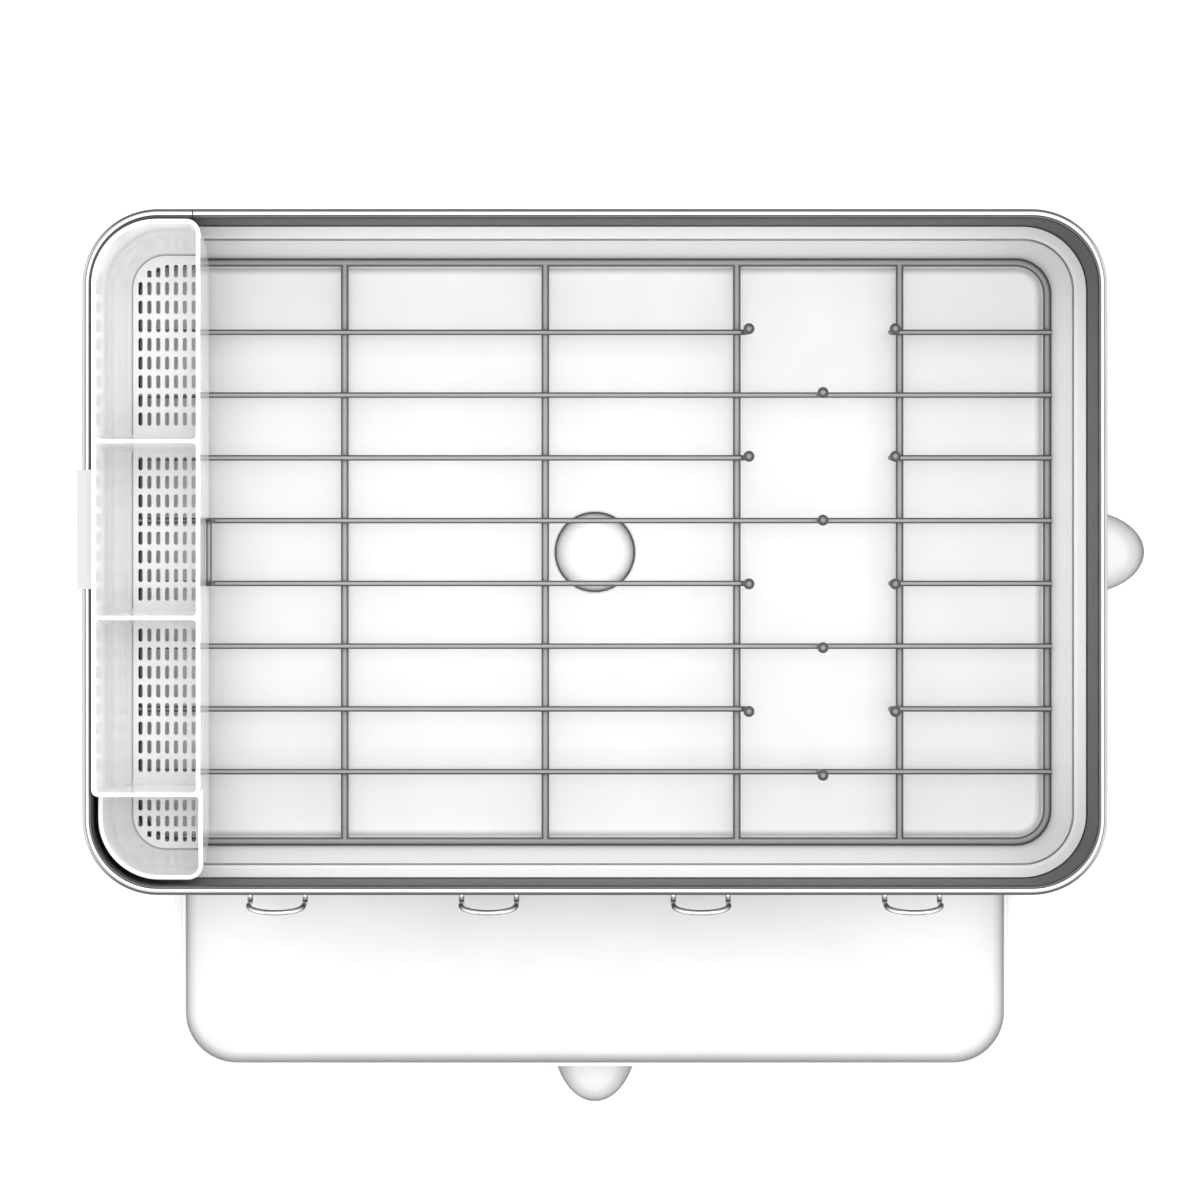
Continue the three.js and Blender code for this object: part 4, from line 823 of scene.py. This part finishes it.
# Moulded silicone: soft satin skin, slightly see-through at thin edges, faint mottling of 2 mm.
mottle = add(tree, "ShaderNodeTexNoise", {"Vector": add(tree, "ShaderNodeTexCoord").outputs["Object"],
                                          "Scale": 500.0, "Detail": 2.0})
tone = add(tree, "ShaderNodeValToRGB", {0: mottle.outputs["Fac"]})
ramp_stops(tone, (0.3, "#989a9c"), (0.7, "#a6a8aa"))
tree.links.new(tone.outputs["Color"], shader.inputs["Base Color"])
shader.inputs["Roughness"].default_value = 0.55
shader.inputs["IOR"].default_value = 1.41
seal_low, seal_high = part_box("drain_seal")
seal_out = (seal_high.x - seal_low.x) / 2
seal_mid = (seal_low.z + seal_high.z) / 2
seal_in, seal_edge = seal_out - 2.9 * MM, 0.5 * MM
seal = turned("seal", eased([
    (seal_in, seal_mid, 0), (seal_in, seal_low.z, seal_edge), (seal_out, seal_low.z, seal_edge),
    (seal_out, seal_high.z, seal_edge), (seal_in, seal_high.z, seal_edge),
    (seal_in, seal_mid + 0.1 * MM, 0)], 4), centre.x, centre.y, 96, True)
dress(seal, silicone)
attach(seal, "drip_tray")
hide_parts("drain_seal")

# ---- Wire rack ----
# Steel wire, resistance welded where it crosses and then dipped in grey nylon: a 4.8 mm perimeter,
# four 4.3 mm cross wires under eight rows of 3.15 mm wire, and twelve prongs with ball ends.


def coated_material(name, side, crown):
    """Fused nylon powder over steel wire: an even satin skin, with a painted highlight along its crown
    and painted shade down its sides. Waves some 4 mm long blur the light that runs along each wire,
    and there are fine pits of 0.6 mm."""
    coat, tree, shader = material_tree(name)
    place = add(tree, "ShaderNodeTexCoord").outputs["Object"]
    waves = add(tree, "ShaderNodeTexNoise", {"Vector": place, "Scale": 250.0, "Detail": 2.0})
    pits = add(tree, "ShaderNodeTexNoise", {"Vector": place, "Scale": 1600.0, "Detail": 1.0})
    facing = add(tree, "ShaderNodeAttribute", attribute_name="crown")
    tone = add(tree, "ShaderNodeValToRGB", {0: facing.outputs["Fac"]})
    # The side colour is a painted shade, the crown colour a painted highlight.
    ramp_stops(tone, (0.0, side), (0.74, side), (0.95, crown), (1.0, crown))
    cloudy = blended(tree, 0.12, tone.outputs["Color"], waves.outputs["Color"], "SOFT_LIGHT")
    tree.links.new(cloudy, shader.inputs["Base Color"])
    rough = add(tree, "ShaderNodeMapRange", {"Value": waves.outputs["Fac"], "To Min": 0.4, "To Max": 0.5})
    tree.links.new(rough.outputs["Result"], shader.inputs["Roughness"])
    dent = add(tree, "ShaderNodeBump", {"Height": pits.outputs["Fac"], "Strength": 0.02, "Distance": 0.0001})
    tree.links.new(dent.outputs["Normal"], shader.inputs["Normal"])
    shader.inputs["IOR"].default_value = 1.53
    shader.inputs["Specular IOR Level"].default_value = 0.3
    return coat


# Each pair: painted shade for the wire's sides, painted highlight for its crown.
thick_coat = coated_material("grey_nylon_on_frame_wire", "#565656", "#949494")
thin_coat = coated_material("grey_nylon_on_row_wire", "#4c4c4c", "#989898")

PRONG_BALL_R = 3.1 * MM
BALLS_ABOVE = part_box("prong_2")[1].z - 2 * PRONG_BALL_R


def wire_tree(name, material):
    """Sweeps a round wire along each chain of edges, and puts a ball on the far end of each."""
    group, given, output = input_node_group(name, {"Wire Radius": 1.0, "Sides": 16, "Ball Radius": 1.0})
    path = add(group, "GeometryNodeMeshToCurve", {"Mesh": given.outputs["Geometry"]}).outputs[0]
    section = add(group, "GeometryNodeCurvePrimitiveCircle",
                  {"Resolution": given.outputs["Sides"], "Radius": given.outputs["Wire Radius"]})
    swept = add(group, "GeometryNodeCurveToMesh", {"Curve": path, "Profile Curve": section.outputs["Curve"],
                                                   "Fill Caps": True})
    ball = add(group, "GeometryNodeMeshUVSphere",
               {"Segments": 24, "Rings": 14, "Radius": given.outputs["Ball Radius"]})
    tip = add(group, "GeometryNodeCurveEndpointSelection", {"Start Size": 0, "End Size": 1})
    balls = add(group, "GeometryNodeInstanceOnPoints",
                {"Points": path, "Selection": tip.outputs[0], "Instance": ball.outputs["Mesh"]})
    both = add(group, "GeometryNodeJoinGeometry")
    group.links.new(swept.outputs[0], both.inputs[0])
    group.links.new(balls.outputs[0], both.inputs[0])
    closing(group, both.outputs[0], material, output)
    return group


def chains(name, paths, cyclic=False):
    """A mesh of bare edges: one chain for each path, with a point just inside each free end."""
    points, edges = [], []
    for path in paths:
        if not cyclic:
            first, last = np.array(path[0]), np.array(path[-1])
            in_first, in_last = np.array(path[1]) - first, np.array(path[-2]) - last
            path = [first, first + in_first / np.linalg.norm(in_first) * 0.3 * MM, *path[1:-1],
                    last + in_last / np.linalg.norm(in_last) * 0.3 * MM, last]
        start, count = len(points), len(path)
        points += [tuple(p) for p in path]
        edges += [(start + i, start + i + 1) for i in range(count - 1)]
        if cyclic:
            edges.append((start + count - 1, start))
    mesh = bpy.data.meshes.new(name)
    mesh.from_pydata(points, edges, [])
    piece = bpy.data.objects.new(name, mesh)
    bpy.context.collection.objects.link(piece)
    return piece


def bent(corner, before, after, radius, steps=8):
    """Points of a quarter bend at a corner, between two directions at right angles."""
    corner, before, after = (np.array(v, float) for v in (corner, before, after))
    turns = np.linspace(0, math.pi / 2, steps + 1)
    return [corner - before * radius * (1 - math.sin(a)) + after * radius * (1 - math.cos(a)) for a in turns]


def wires(name, paths, radius, nodes, tree, sides=16, ball=0.0, cyclic=False):
    piece = chains(name, paths, cyclic)
    grown(piece, tree, {"Wire Radius": radius, "Sides": sides, "Ball Radius": ball})
    settled_mesh(piece, 50)
    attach(piece, "wire_rack")
    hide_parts(*nodes)
    return piece


def settled_mesh(piece, angle):
    """Drops the empty balls of plain wires, turns and shades the rest, and marks how far each point
    faces up."""
    work = bmesh.new()
    work.from_mesh(piece.data)
    bmesh.ops.remove_doubles(work, verts=work.verts, dist=1e-7)
    bmesh.ops.delete(work, geom=[v for v in work.verts if not v.link_faces], context="VERTS")
    bmesh.ops.recalc_face_normals(work, faces=work.faces)
    work.to_mesh(piece.data)
    work.free()
    piece.data.shade_smooth()
    piece.data.set_sharp_from_angle(angle=math.radians(angle))
    # Above the balls' height the crown is scaled down, so their painted highlight comes out greyer.
    mark_crown(piece, BALLS_ABOVE, 0.88)


thick_wires = wire_tree("thick_wires", thick_coat)
thin_wires = wire_tree("thin_wires", thin_coat)
rim_low, rim_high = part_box("perimeter_wire")
thick_r = (rim_high.z - rim_low.z) / 2
rack_z = (rim_high.z + rim_low.z) / 2
around = rounded(rim_low.x + thick_r, rim_low.y + thick_r, rim_high.x - thick_r, rim_high.y - thick_r,
                 [18 * MM] * 4, 16, 6)
wires("perimeter", [level(around, rack_z)], thick_r, ["perimeter_wire"], thick_wires, 24, 0.0, True)

CROSS_NODES = [f"cross_wire_{i}" for i in range(1, 5)]
cross_low, cross_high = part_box("cross_wire_1")
cross_r = (cross_high.x - cross_low.x) / 2
cross_paths = [[(centre_of(n).x, rim_low.y + thick_r, rack_z), (centre_of(n).x, rim_high.y - thick_r, rack_z)]
               for n in CROSS_NODES]
wires("cross_wires", cross_paths, cross_r, CROSS_NODES, thick_wires, 24)

FULL_ROWS = [f"long_wire_{i}" for i in (2, 4, 6, 8)]
row_low, row_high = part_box("long_wire_2")
thin_r = (row_high.z - row_low.z) / 2
row_z = (row_high.z + row_low.z) / 2
row_paths = [[(row_low.x, centre_of(n).y, row_z), (row_high.x, centre_of(n).y, row_z)] for n in FULL_ROWS]
wires("full_rows", row_paths, thin_r, FULL_ROWS, thin_wires)

turned_nodes, turned_paths = [], []
for row in (1, 3, 5, 7):
    for end, along in (("left", (1, 0, 0)), ("right", (-1, 0, 0))):
        node = f"long_wire_{row}_{end}"
        low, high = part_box(node)
        start = low.x if end == "left" else high.x
        prong = high.x - PRONG_BALL_R if end == "left" else low.x + PRONG_BALL_R
        y, top = centre_of(node).y, high.z - PRONG_BALL_R
        turned_nodes.append(node)
        turned_paths.append([(start, y, row_z), *bent((prong, y, row_z), along, (0, 0, 1), 4.5 * MM),
                             (prong, y, top)])
wires("turned_up_rows", turned_paths, thin_r, turned_nodes, thin_wires, 16, PRONG_BALL_R)

PRONGS = [f"prong_{i}" for i in (2, 4, 6, 8)]
prong_paths = [[(centre_of(n).x, centre_of(n).y, row_z),
                (centre_of(n).x, centre_of(n).y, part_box(n)[1].z - PRONG_BALL_R)] for n in PRONGS]
wires("prongs", prong_paths, thin_r, PRONGS, thin_wires, 16, PRONG_BALL_R)

staple_low, staple_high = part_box("caddy_staple")
staple_x = (staple_low.x + staple_high.x) / 2
back, front, top = staple_high.y - thin_r, staple_low.y + thin_r, staple_high.z - thin_r
wires("staple", [[(staple_x, back, row_z), *bent((staple_x, back, top), (0, 0, 1), (0, -1, 0), 5 * MM),
                  *bent((staple_x, front, top), (0, -1, 0), (0, 0, -1), 5 * MM), (staple_x, front, row_z)]],
      thin_r, ["caddy_staple"], thin_wires)

# ---- Hooks for glasses ----
# Four bright hooks of 3 mm stainless wire, welded through the band's front wall, turned up and bowed.
polished, tree, shader = material_tree("electropolished_stainless_wire")
# Electropolished wire: mirror bright, with faint drawing lines and clouding of 1.5 mm. Its top is painted
# bright, a painted highlight, and its sides dark, a painted shade.
cloud = add(tree, "ShaderNodeTexNoise", {"Vector": add(tree, "ShaderNodeTexCoord").outputs["Object"],
                                         "Scale": 650.0, "Detail": 2.0})
facing = add(tree, "ShaderNodeAttribute", attribute_name="crown")
highlight_and_cloud = add(tree, "ShaderNodeMath", {0: cloud.outputs["Fac"], 1: 0.1, 2: facing.outputs["Fac"]},
            operation="MULTIPLY_ADD")
tone = add(tree, "ShaderNodeValToRGB", {0: highlight_and_cloud.outputs[0]})
ramp_stops(tone, (0.0, "#6c6d6f"), (0.6, "#5c5d5f"), (0.86, "#d4d5d7"), (1.0, "#f4f5f7"))
tree.links.new(tone.outputs["Color"], shader.inputs["Base Color"])
rough = add(tree, "ShaderNodeMapRange", {"Value": cloud.outputs["Fac"], "To Min": 0.08, "To Max": 0.16})
tree.links.new(rough.outputs["Result"], shader.inputs["Roughness"])
shader.inputs["Metallic"].default_value = 1.0

HOOK_NODES = [f"glass_hook_{i}" for i in range(1, 5)]
HOOK_R, HOOK_BEND, HOOK_BOW, LEG_Z = 1.5 * MM, 4 * MM, 3.7 * MM, 100 * MM
hook_paths = []
for node in HOOK_NODES:
    low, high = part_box(node)
    x, half = (low.x + high.x) / 2, (high.x - low.x) / 2 - HOOK_R
    upright_y = high.y - 10.7 * MM
    top = high.z - HOOK_R
    shoulder = top - half * 0.6
    leg = [[(x + s * half, high.y, LEG_Z),
            *bent((x + s * half, upright_y, LEG_Z), (0, -1, 0), (0, 0, 1), HOOK_BEND)] for s in (-1, 1)]
    turns = np.linspace(0, math.pi, 37)
    arch = [(x - half * math.cos(a), upright_y - HOOK_BOW * math.sin(a),
             shoulder + (top - shoulder) * max(math.sin(a), 0) ** 0.6) for a in turns]
    hook_paths.append([*leg[0], *arch, *leg[1][::-1]])
hooks = chains("glass_hooks", hook_paths)
grown(hooks, wire_tree("bright_wires", polished), {"Wire Radius": HOOK_R, "Sides": 16, "Ball Radius": 0.0})
settled_mesh(hooks, 50)
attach(hooks, "frame")
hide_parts(*HOOK_NODES)

# ---- Caddy ----
# A glossy white ABS tub with three dividers that stands on the wires inside the left end. Its walls
# lean in to the floor, its front compartment is lower, and a flat clip laps over the band's bead.
gloss_abs, tree, shader = material_tree("gloss_abs")
# Moulded against a mirror-polished tool: the clearest gloss on the rack, with flow waves some 40 mm
# long. The clip, left of the tub, is moulded thin and painted greyer, a painted shade.
place = add(tree, "ShaderNodeTexCoord").outputs["Object"]
waves = add(tree, "ShaderNodeTexNoise", {"Vector": place, "Scale": 25.0, "Detail": 1.0})
tone = add(tree, "ShaderNodeValToRGB", {0: waves.outputs["Fac"]})
ramp_stops(tone, (0.3, "#f5f5f5"), (0.7, "#f8f8f8"))
left_of_tub = add(tree, "ShaderNodeMath", {0: add(tree, "ShaderNodeSeparateXYZ", {0: place}).outputs["X"],
                                           1: steel_low.x + BEAD_D + 0.5 * MM}, operation="LESS_THAN")
skin = blended(tree, left_of_tub.outputs[0], tone.outputs["Color"], linear("#b0b0b1"))
tree.links.new(skin, shader.inputs["Base Color"])
rough = add(tree, "ShaderNodeMapRange", {"Value": waves.outputs["Fac"], "To Min": 0.08, "To Max": 0.13})
tree.links.new(rough.outputs["Result"], shader.inputs["Roughness"])
dent = add(tree, "ShaderNodeBump", {"Height": waves.outputs["Fac"], "Strength": 0.03, "Distance": 0.002})
tree.links.new(dent.outputs["Normal"], shader.inputs["Normal"])
shader.inputs["IOR"].default_value = 1.54

shell_low, shell_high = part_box("caddy_shell")
plate_low, plate_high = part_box("caddy_floor")
CADDY_LEFT = steel_low.x + BEAD_D + 0.5 * MM
CADDY_RIGHT = CADDY_LEFT + 59.9 * MM
CADDY_FRONT, CADDY_BACK = shell_low.y, shell_high.y
CADDY_RIM, LOW_RIM = shell_high.z, 136 * MM
CADDY_BOTTOM, CREASE = shell_low.z, 95 * MM
WALL = 2.2 * MM
LEFT_R, RIGHT_R = 36.1 * MM, 8 * MM
LEAN = eased([(0, CADDY_RIM, 0), (5.4 * MM, CREASE, 16 * MM), (15.6 * MM, CADDY_BOTTOM, 0)], 10)
DIVIDERS = [CADDY_FRONT + 49.8 * MM + k * 97.45 * MM for k in range(3)]
DRAFT = 2.3 * MM


def lean_at(z):
    """How far the walls have leaned in at this height."""
    return float(np.interp(z, LEAN[::-1, 1], LEAN[::-1, 0]))


def caddy_ring(z, inset, front=None, back=None, flare=0.0):
    """The caddy's outline, or one compartment's, at a height. front and back are divider faces."""
    lean = lean_at(min(z, CADDY_RIM))
    draft = DRAFT * (CADDY_RIM - z) / (CADDY_RIM - CADDY_BOTTOM) - flare
    inset = inset - flare
    x0, x1 = CADDY_LEFT + inset + lean, CADDY_RIGHT - inset
    y0 = CADDY_FRONT + inset + lean * 0.95 if front is None else front + draft
    y1 = CADDY_BACK - inset - lean * 0.95 if back is None else back - draft
    left, right = LEFT_R - inset - lean, RIGHT_R - inset
    small = 2.2 * MM
    radii = [left if front is None else small, right if front is None else small,
             right if back is None else small, left if back is None else small]
    return level(rounded(x0, y0, x1, y1, radii, 20, 4), z)


wall_heights = sorted({float(z) for z in LEAN[:, 1]})
caddy = lofted("caddy", [caddy_ring(z, 0) for z in wall_heights], False, 30)
faces = [None, *DIVIDERS, None]
for k in range(4):
    front = None if faces[k] is None else faces[k] + MM
    back = None if faces[k + 1] is None else faces[k + 1] - MM
    between = [z for z in wall_heights if CADDY_BOTTOM + 0.1 * MM < z < CADDY_RIM - 0.1 * MM]
    heights = [CADDY_BOTTOM - MM, *between, CADDY_RIM + MM]
    pocket = lofted("pocket", [caddy_ring(z, WALL, front, back) for z in heights], False, 30)
    combined(caddy, pocket, "DIFFERENCE")
step_y, step_r = DIVIDERS[0] - MM, 3.6 * MM
turns = np.linspace(0, math.pi / 2, 9)
right_curve = [(CADDY_RIGHT - step_r + step_r * math.cos(a), step_y + step_r - step_r * math.sin(a))
               for a in turns]
left_curve = [(CADDY_LEFT + step_r - step_r * math.sin(a), step_y + step_r - step_r * math.cos(a))
              for a in turns]
step_left, step_right, step_front = CADDY_LEFT - 5 * MM, CADDY_RIGHT + 5 * MM, CADDY_FRONT - 5 * MM
step_outline = np.array([(step_left, step_front), (step_right, step_front), (step_right, step_y + step_r),
                         *right_curve, *left_curve, (step_left, step_y + step_r)])
step = prism("step", step_outline, LOW_RIM, CADDY_RIM + 5 * MM)
combined(caddy, step, "DIFFERENCE")
clip_y, clip_half, clip_z = centre.y + 12.5 * MM, 33 * MM, rim_z + 0.6 * MM
combined(caddy, block("clip_top", shell_low.x, CADDY_LEFT + 1.2 * MM, clip_y - clip_half, clip_y + clip_half,
                      clip_z, clip_z + 2 * MM), "UNION")
combined(caddy, block("clip_drop", shell_low.x, shell_low.x + 2 * MM, clip_y - clip_half, clip_y + clip_half,
                      clip_z - 14.5 * MM, clip_z + MM), "UNION")
softened(caddy, 0.55 * MM, 3, 38)
dress(caddy, gloss_abs)
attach(caddy, "caddy")
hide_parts("caddy_shell")

# The caddy's floor: a loose polypropylene plate with rows of slots, 2.4 by 7.5 mm, that let the
# water through. The last slots of the end rows are shortened to follow the rounded corners.
SLOT_COLUMNS = [-226, -231, -236, -241, -246, -251, -256]
slot_spots = []
for first in (148.4, 49.8, -46.8):
    for row in range(8):
        for x in SLOT_COLUMNS:
            slot_spots.append((x, first - 10.5 * row, 7.5))
for middle, length, columns in ((158.2, 7.2, SLOT_COLUMNS[:4]), (157.5, 5.8, SLOT_COLUMNS[4:5]),
                                (156.6, 4.0, SLOT_COLUMNS[5:6]), (-142.6, 6.2, SLOT_COLUMNS),
                                (-151.6, 6.2, SLOT_COLUMNS), (-160.2, 6.0, SLOT_COLUMNS[:4]),
                                (-159.7, 5.0, SLOT_COLUMNS[4:5]), (-158.9, 3.4, SLOT_COLUMNS[5:6])):
    slot_spots += [(x, middle, length) for x in columns]


def slotted_tree(name, material):
    """Cuts a slot through the plate at each point of the spots object, stretched to its length."""
    group, given, output = input_node_group(name, {"Spots": None, "Slot": None})
    spots = add(group, "GeometryNodeObjectInfo", {"Object": given.outputs["Spots"]})
    slot = add(group, "GeometryNodeObjectInfo", {"Object": given.outputs["Slot"]})
    stretch = add(group, "GeometryNodeInputNamedAttribute", {"Name": "stretch"}, data_type="FLOAT")
    scale = add(group, "ShaderNodeCombineXYZ", {"X": 1.0, "Y": stretch.outputs["Attribute"], "Z": 1.0})
    spread = add(group, "GeometryNodeInstanceOnPoints",
                 {"Points": spots.outputs["Geometry"], "Instance": slot.outputs["Geometry"],
                  "Scale": scale.outputs[0]})
    real = add(group, "GeometryNodeRealizeInstances", {0: spread.outputs[0]})
    cut = add(group, "GeometryNodeMeshBoolean", {"Mesh 1": given.outputs["Geometry"]},
              operation="DIFFERENCE", solver="MANIFOLD")
    group.links.new(real.outputs[0], cut.inputs["Mesh 2"])
    closing(group, cut.outputs[0], material, output)
    return group


plate_outline = caddy_ring(plate_low.z, WALL - 0.4 * MM)[:, :2]
plate = prism("caddy_grille", plate_outline, plate_low.z, plate_high.z)
half_w, half_l = 1.2 * MM, 3.75 * MM
turns = np.linspace(0, math.pi, 9)
obround = [(half_w * math.cos(a), half_l - half_w + half_w * math.sin(a)) for a in turns]
obround += [(-x, -y) for x, y in obround]
slot_shape = prism("slot_shape", np.array(obround), -5 * MM, 5 * MM)
spots = points_piece("spots", [(centre.x + x * MM, centre.y + y * MM, plate_low.z) for x, y, _ in slot_spots])
stretch = spots.data.attributes.new("stretch", "FLOAT", "POINT")
stretch.data.foreach_set("value", [length / 7.5 for _, _, length in slot_spots])
# The grille takes the drip tray's material: above the tray's top it is painted lighter, and its slot walls
# greyer as shade.
grown(plate, slotted_tree("slotted_plate", tray_white), {"Spots": spots, "Slot": slot_shape})
for tool in (spots, slot_shape):
    bpy.data.objects.remove(tool)
softened(plate, 0.2 * MM, 1, 50)
mark_crown(plate)
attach(plate, "caddy")
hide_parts("caddy_floor")

# ---- Tray for glasses ----
# A shallow white tray that slides out under the front, with a rounded front and a drain hole at the
# rear. Injection moulded polypropylene.
dish_low, dish_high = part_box("glass_tray")


def dish_ring(inset, z):
    front, rear = 31 * MM - inset, max(8 * MM - inset, 0.6 * MM)
    return level(rounded(dish_low.x + inset, dish_low.y + inset, dish_high.x - inset, dish_high.y - inset,
                         [front, front, rear, rear], 24, 10), z)


dish_profile = eased([
    (12 * MM, dish_low.z, 0), (0.6 * MM, dish_low.z, 5 * MM), (0, dish_high.z, 0.5 * MM),
    (2.2 * MM, dish_high.z, 0.5 * MM), (2.8 * MM, dish_low.z + 2.2 * MM, 6 * MM),
    (14 * MM, dish_low.z + 2.2 * MM, 0)], 8)
dish = lofted("glasses_tray", [dish_ring(inset, z) for inset, z in dish_profile], False, 50)
combined(dish, disc("drain", (dish_low.x + dish_high.x) / 2, dish_high.y - 15 * MM, 6 * MM,
                    dish_low.z - MM, dish_low.z + 4 * MM, 48), "DIFFERENCE")
dish.data.shade_smooth()
dish.data.set_sharp_from_angle(angle=math.radians(50))
mark_crown(dish)
# The last colour is the painted shade on the tray's sloping faces.
dress(dish, gloss_material("soft_white_polypropylene", "#d8d8d9", "#dcdcdd", "#939394"))
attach(dish, "glass_tray")
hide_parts("glass_tray")

# ---- Spouts ----
# Two alike white troughs that swivel on the drain cup's neck by a flat ring. Each has a round bottom,
# falls a little to its tip, and its lip is cut down towards the half-elliptic end.
SPOUT_REACH = 316 * MM
HALF, ROOT_HALF, WALL_T = 26.2 * MM, 13 * MM, 2.2 * MM
ROOT_X, FULL_X, END = 34.5 * MM, 75 * MM, 40 * MM
SPOUT_LOW, SPOUT_FLOOR, SPOUT_LIP, ROOM_TOP = 6 * MM, 8.2 * MM, 29 * MM, 40 * MM


def spout_ring(inset, z, root_x, spine=False):
    half, root_half = HALF - inset, max(ROOT_HALF - inset, 0.8 * MM)
    turns = np.linspace(-math.pi / 2, math.pi / 2, 49)
    end = [(SPOUT_REACH - END + (END - inset) * math.cos(a), half * math.sin(a)) for a in turns]
    straight = np.linspace(FULL_X, SPOUT_REACH - END, 14)[:-1]
    flank = np.linspace(root_x, FULL_X, 6)[:-1]
    widths = root_half + (half - root_half) * (flank - root_x) / (FULL_X - root_x)
    right = [(x, -w) for x, w in zip(flank, widths)] + [(x, -half) for x in straight]
    left = [(x, half) for x in straight[::-1]] + [(x, w) for x, w in zip(flank[::-1], widths[::-1])]
    points = np.array(right + end + left)
    tip = np.clip((points[:, 0] - (SPOUT_REACH - 1.3 * END)) / (1.3 * END), 0, 1)
    low = min(z, SPOUT_FLOOR)
    rise = low + (z - low) * (1 - 0.55 * tip ** 2 * (3 - 2 * tip))
    fall = np.maximum(0, points[:, 0] - ROOT_X - 8 * MM) * 0.0075
    if spine:
        points[:, 1] = 0
    return np.column_stack([points, rise - fall])


def spout(name, node, body, ring_z, turn):
    outside = eased([(12.5 * MM, SPOUT_LOW, 0), (0, SPOUT_LOW, 10.5 * MM), (0, SPOUT_LIP, 0.7 * MM),
                     (4 * MM, SPOUT_LIP, 0)], 10)
    inside = eased([(WALL_T, ROOM_TOP, 0), (WALL_T, SPOUT_LIP + 2 * MM, 0), (WALL_T, SPOUT_LIP, 0),
                    (WALL_T + 0.6 * MM, SPOUT_FLOOR, 9.5 * MM), (14.5 * MM, SPOUT_FLOOR, 0)], 10)
    rings = [spout_ring(12.6 * MM, SPOUT_LOW, ROOT_X, True), *[spout_ring(i, z, ROOT_X) for i, z in outside],
             spout_ring(12 * MM, SPOUT_LIP, ROOT_X, True)]
    trough = lofted(name, rings, False, 50)
    room_x = ROOT_X - MM
    rings = [spout_ring(13 * MM, ROOM_TOP, room_x, True), *[spout_ring(i, z, room_x) for i, z in inside],
             spout_ring(14.6 * MM, SPOUT_FLOOR, room_x, True)]
    room = lofted("room", rings, False, 50)
    combined(trough, room, "DIFFERENCE")
    arm = ROOT_HALF - MM
    combined(trough, block("lip", 31 * MM, ROOT_X + 2 * MM, -arm, arm, SPOUT_LOW, SPOUT_FLOOR), "UNION")
    hub = disc("hub", 0, 0, 33 * MM, ring_z, ring_z + 3.7 * MM, 96)
    combined(hub, block("arm", 26 * MM, ROOT_X + 6 * MM, -arm, arm, ring_z, ring_z + 3.7 * MM), "UNION")
    combined(hub, disc("bore", 0, 0, 22.8 * MM, ring_z - MM, ring_z + 5 * MM, 96), "DIFFERENCE")
    combined(trough, hub, "UNION")
    trough.data.transform(Matrix.Translation((centre.x, centre.y, 0)) @ Matrix.Rotation(turn, 4, "Z"))
    settled_mesh(trough, 35)
    dress(trough, gloss_white)
    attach(trough, body)
    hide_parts(node)


spout("spout_to_side", "side_spout", "side_spout", 24.3 * MM, 0)
spout("spout_to_front", "front_spout", "front_spout", 20 * MM, -math.pi / 2)
